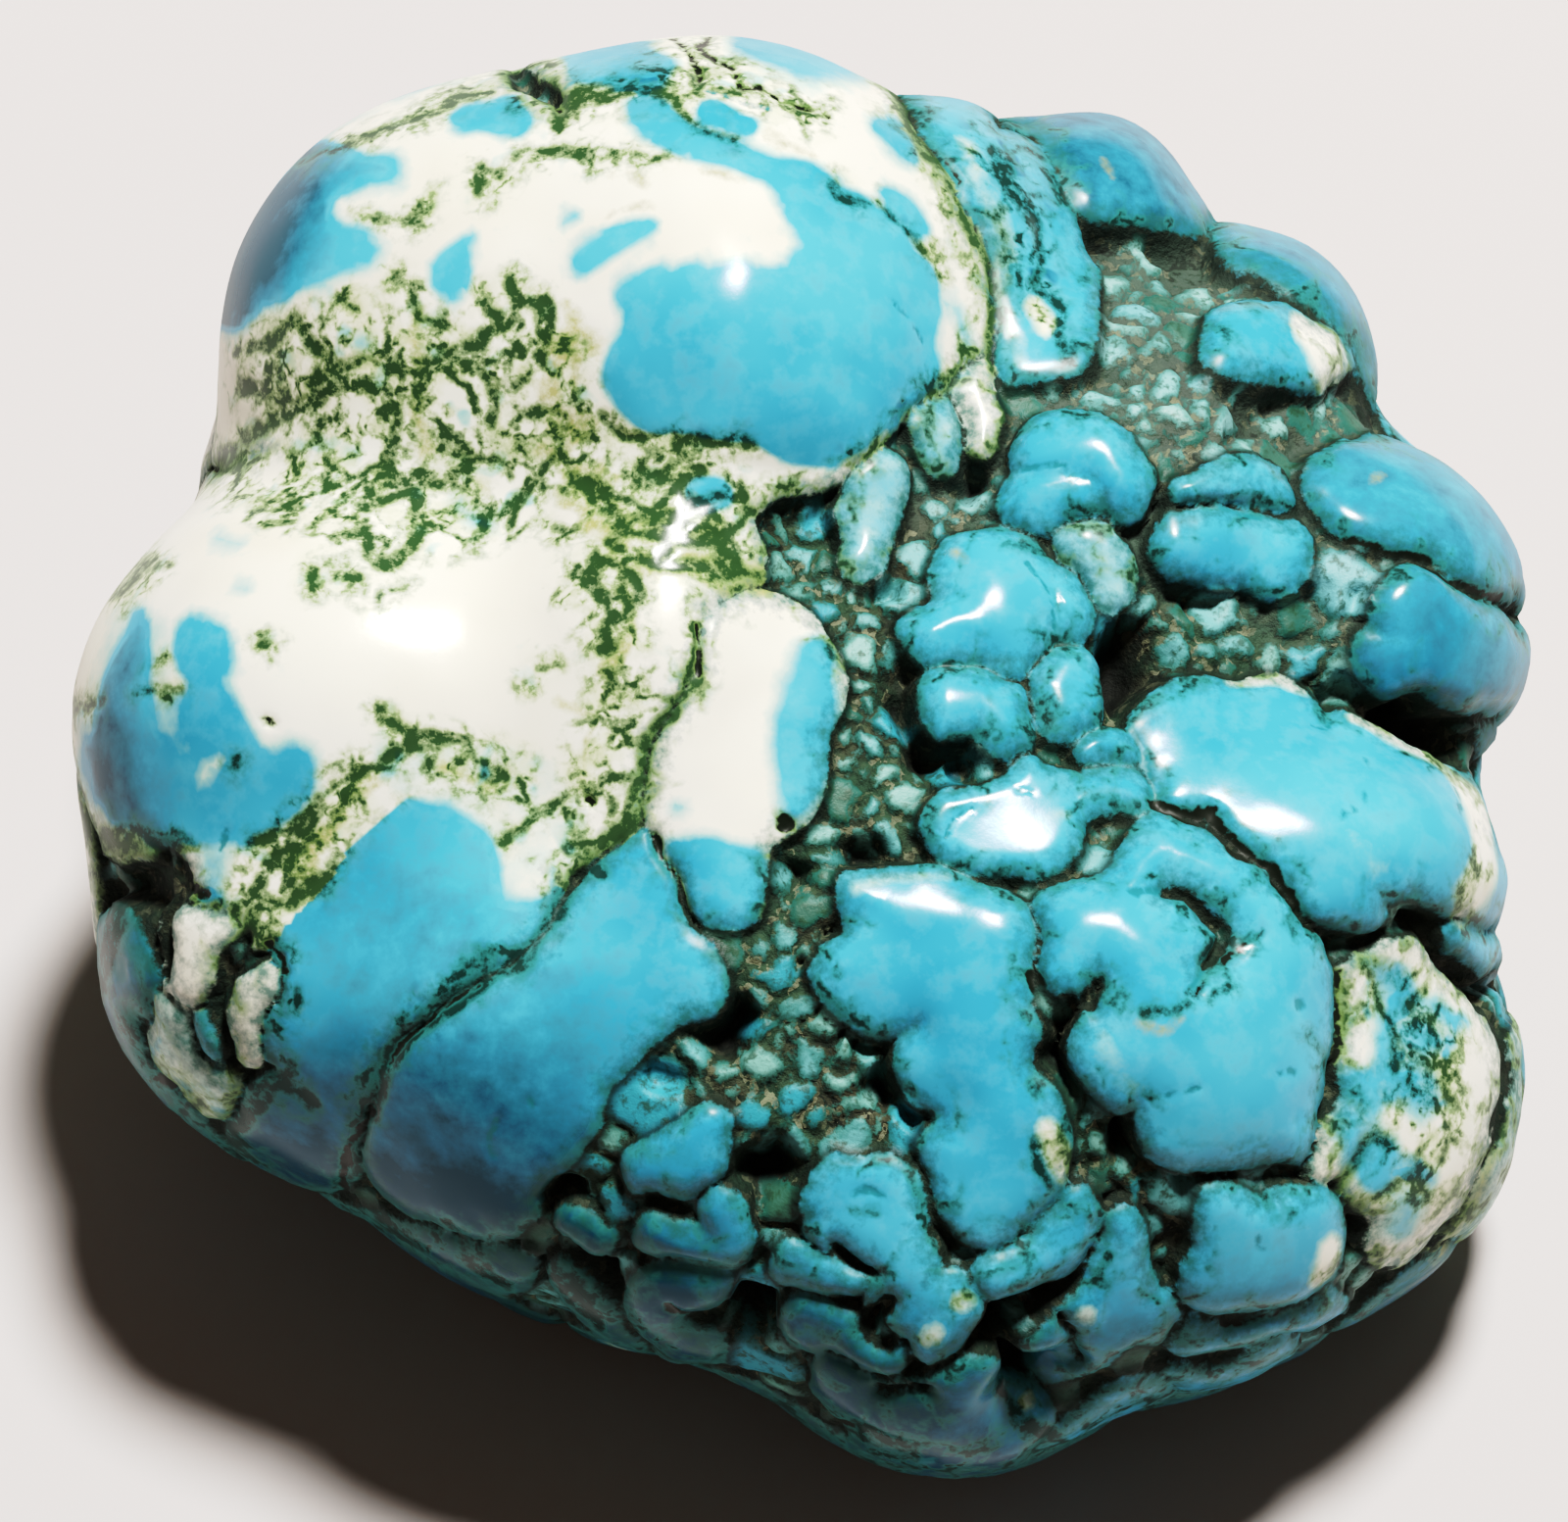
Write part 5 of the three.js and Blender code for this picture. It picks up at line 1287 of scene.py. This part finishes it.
def gritty_matrix(tree, stone, inset):
    """Grains of black, brown, green and tan with worn pebbles in them, with painted shade that makes it
    darkest where it lies deep and painted light that makes it paler towards the upper right.
    """
    kind = stone["pebble_tint"]
    clean = lay(tree, PEBBLE_MILKY, [
        (kind, 0.3, 1.0, 0.0, 1.0, PEBBLE_BLUE),
        # painted light: pebbles paler towards the upper right
        (stone["painted_upper_light"], 0.0, 1.0, 0.0, 0.5, PEBBLE_PAINTED_LIGHT)])
    pebble = lay(tree, MATRIX_BROWN, [
        (kind, -1.0, 0.0, 0.0, 1.0, PEBBLE_GREEN),
        (kind, 0.0, 0.05, 0.0, 1.0, clean),
        (stone["speck"], 0.5, 0.64, 0.0, 0.8, MATRIX_GREEN),
        # a border of moss and painted shade round each pebble
        (inset, 0.08, 0.4, 0.85, 0.0, EDGE_MOSS_AND_SHADE)])
    return lay(tree, MATRIX_BLACK, [
        (stone["grain"], 0.0, 1.0, 0.0, 1.0, MATRIX_BROWN),
        (stone["drift"], 0.38, 0.55, 0.1, 0.75, MATRIX_GREEN),
        # painted light: matrix paler towards the upper right
        (stone["painted_upper_light"], 0.0, 1.0, 0.0, 0.55, MATRIX_PAINTED_LIGHT),
        (stone["fleck"], 0.78, 0.92, 0.0, 0.6, MATRIX_TAN),
        (stone["speck"], 0.5, 0.62, 0.0, 0.6, MATRIX_BLACK),
        (inset, 0.04, 0.16, 0.0, 1.0, pebble),
        # painted shade: darker the deeper the matrix lies, and darkest in the crevice at the foot of each
        # growth
        (stone["depth"], 0.25, 0.75, 0.0, 0.94, MATRIX_BLACK),
        (stone["reach"], -0.4, -0.08, 0.0, 0.8, PAINTED_CREVICE_SHADE)])


def tumbled_turquoise():
    """Raw turquoise, tumbled until its domes shine: a hard gloss on the blue and the white, which stops
    at the dull matrix. Pebbles in the matrix are half polished."""
    material = bpy.data.materials.new("tumbled_turquoise")
    material.use_nodes = True
    tree = material.node_tree
    tree.nodes.clear()
    stone = read_stone(tree)
    inset = add(tree, "Math", {0: stone["jitter"], 1: 0.7, 2: stone["inset"]}, operation="MULTIPLY_ADD")
    edge = add(tree, "Math", {0: stone["jitter"], 1: 0.34, 2: stone["reach"]}, operation="MULTIPLY_ADD")
    opened = add(tree, "MapRange", {0: edge, 1: -0.03, 2: 0.06, 3: 1.0, 4: 0.0})
    matrix = gritty_matrix(tree, stone, inset)
    colour = lay(tree, polished_stone(tree, stone), [(opened, 0.0, 1.0, 0.0, 1.0, matrix)])

    worn = add(tree, "MapRange", {0: inset, 1: 0.04, 2: 0.16, 3: 0.75, 4: 0.5})
    polish = add(tree, "MapRange", {0: stone["reach"], 1: 0.05, 2: 0.5, 3: 0.5, 4: 0.2})
    glance = add(tree, "LayerWeight", {"Blend": 0.5}, "Facing")
    glance = add(tree, "MapRange", {0: glance, 1: 0.6, 2: 0.95, 4: 0.2})
    polish = add(tree, "Math", {0: polish, 1: glance}, operation="ADD")
    gloss = add(tree, "Mix", {0: opened, 2: polish, 3: worn})
    rasp = add(tree, "Math", {0: stone["rasp"], 1: 0.5}, operation="SUBTRACT")
    smooth = add(tree, "MapRange", {0: inset, 1: 0.04, 2: 0.16, 3: 1.0, 4: 0.3})
    for share in (opened, smooth):
        rasp = add(tree, "Math", {0: rasp, 1: share}, operation="MULTIPLY")
    relief = add(tree, "Math", {0: stone["mottle"], 1: 0.06, 2: rasp}, operation="MULTIPLY_ADD")
    bump = add(tree, "Bump", {"Height": relief, "Distance": RELIEF * MM, "Strength": 0.8})
    surface = add(tree, "BsdfPrincipled", {
        "Base Color": colour, "Roughness": gloss, "IOR": 1.5, "Specular IOR Level": 0.32, "Normal": bump})
    tree.links.new(surface, tree.nodes.new("ShaderNodeOutputMaterial").inputs[0])
    return material


def matte_paper():
    """Smooth pale card, matte, so the stone's shadow is all it shows."""
    material = bpy.data.materials.new("pale_card")
    material.use_nodes = True
    surface = material.node_tree.nodes["Principled BSDF"]
    surface.inputs["Base Color"].default_value = linear(FLOOR_PAPER)
    surface.inputs["Roughness"].default_value = 0.9
    return material


def lay_floor():
    """A round sheet of card; past its rim the backdrop goes on in the same pale tone."""
    mesh = bpy.data.meshes.new("card")
    disc = bmesh.new()
    bmesh.ops.create_circle(disc, cap_ends=True, radius=CARD_REACH, segments=96)
    disc.to_mesh(mesh)
    disc.free()
    floor = bpy.data.objects.new("card", mesh)
    mesh.materials.append(matte_paper())
    bpy.context.scene.collection.objects.link(floor)


def hang_backdrop():
    """A pale dome of cloth round the card. It is only looked at and lights nothing."""
    cloth = bpy.data.materials.new("pale_cloth")
    cloth.use_nodes = True
    surface = cloth.node_tree.nodes["Principled BSDF"]
    surface.inputs["Base Color"].default_value = linear("#000000")
    surface.inputs["Emission Color"].default_value = linear(BACKDROP_CLOTH)
    surface.inputs["Emission Strength"].default_value = 1.1
    mesh = bpy.data.meshes.new("backdrop")
    ball = bmesh.new()
    bmesh.ops.create_icosphere(ball, subdivisions=5, radius=BACKDROP_REACH)
    ball.to_mesh(mesh)
    ball.free()
    mesh.materials.append(cloth)
    backdrop = bpy.data.objects.new("backdrop", mesh)
    for ray in ("diffuse", "glossy", "transmission", "volume_scatter", "shadow"):
        setattr(backdrop, "visible_" + ray, False)
    bpy.context.scene.collection.objects.link(backdrop)


def hang_lamp(name, bearing, climb, distance, size, power, colour):
    """A round soft lamp, aimed at the stone from a bearing and a height in degrees."""
    lamp = bpy.data.lights.new(name, "AREA")
    lamp.shape = "DISK"
    lamp.size = size
    lamp.energy = power
    lamp.color = linear(colour)[:3]
    holder = bpy.data.objects.new(name, lamp)
    turn, rise = math.radians(bearing), math.radians(climb)
    aim = Vector(FACE_CENTRE * MM)
    back = Vector((math.sin(turn) * math.cos(rise), -math.cos(turn) * math.cos(rise), math.sin(rise)))
    holder.location = aim + back * distance
    holder.rotation_mode = "QUATERNION"
    holder.rotation_quaternion = (-back).to_track_quat("-Z", "Y")
    bpy.context.scene.collection.objects.link(holder)


def light_room():
    """One lamp high behind the stone's right shoulder, and a dim warm room round it."""
    hang_lamp("key", bearing=151, climb=70, distance=0.8, size=0.17, power=9.7, colour="#FFFCF7")
    world = bpy.data.worlds.new("room")
    bpy.context.scene.world = world
    world.use_nodes = True
    room = world.node_tree.nodes["Background"]
    room.inputs["Color"].default_value = linear("#E6C4AB")
    room.inputs["Strength"].default_value = 0.115


def place_camera():
    """Looks straight down onto the big face."""
    camera = bpy.data.cameras.new("camera")
    camera.lens = SENSOR * EYE_RANGE / FIELD
    camera.sensor_width = SENSOR
    camera.clip_start = 0.01
    camera.clip_end = 50.0
    holder = bpy.data.objects.new("camera", camera)
    holder.location = Vector((FACE_CENTRE + OUT * EYE_RANGE) * MM)
    holder.rotation_mode = "QUATERNION"
    holder.rotation_quaternion = Vector(-OUT).to_track_quat("-Z", "Y")
    bpy.context.scene.collection.objects.link(holder)
    bpy.context.scene.camera = holder


def develop():
    """A print with bright mid tones, soft highlights and deep shadows."""
    view = bpy.context.scene.view_settings
    view.view_transform = "Standard"
    view.use_curve_mapping = True
    view.curve_mapping.white_level = (PRINT_WHITE,) * 3
    tone = view.curve_mapping.curves[3]
    for scene, shown in ((0.05, 0.03), (0.15, 0.17), (0.35, 0.45), (0.6, 0.67), (1.0, 0.83)):
        tone.points.new(scene / PRINT_WHITE, shown)
    view.curve_mapping.update()


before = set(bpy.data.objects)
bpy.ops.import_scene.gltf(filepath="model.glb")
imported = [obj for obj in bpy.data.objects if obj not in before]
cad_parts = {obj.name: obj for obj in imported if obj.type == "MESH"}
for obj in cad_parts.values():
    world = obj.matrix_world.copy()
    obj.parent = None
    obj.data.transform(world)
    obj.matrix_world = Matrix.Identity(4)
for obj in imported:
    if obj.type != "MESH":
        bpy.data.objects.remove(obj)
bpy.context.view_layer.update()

nugget = write_skin(*build_skin(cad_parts["nugget"]))
nugget.data.materials.append(tumbled_turquoise())
bpy.context.scene.collection.objects.link(nugget)
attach(nugget, "root")
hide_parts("nugget")

lay_floor()
hang_backdrop()
light_room()
place_camera()
develop()
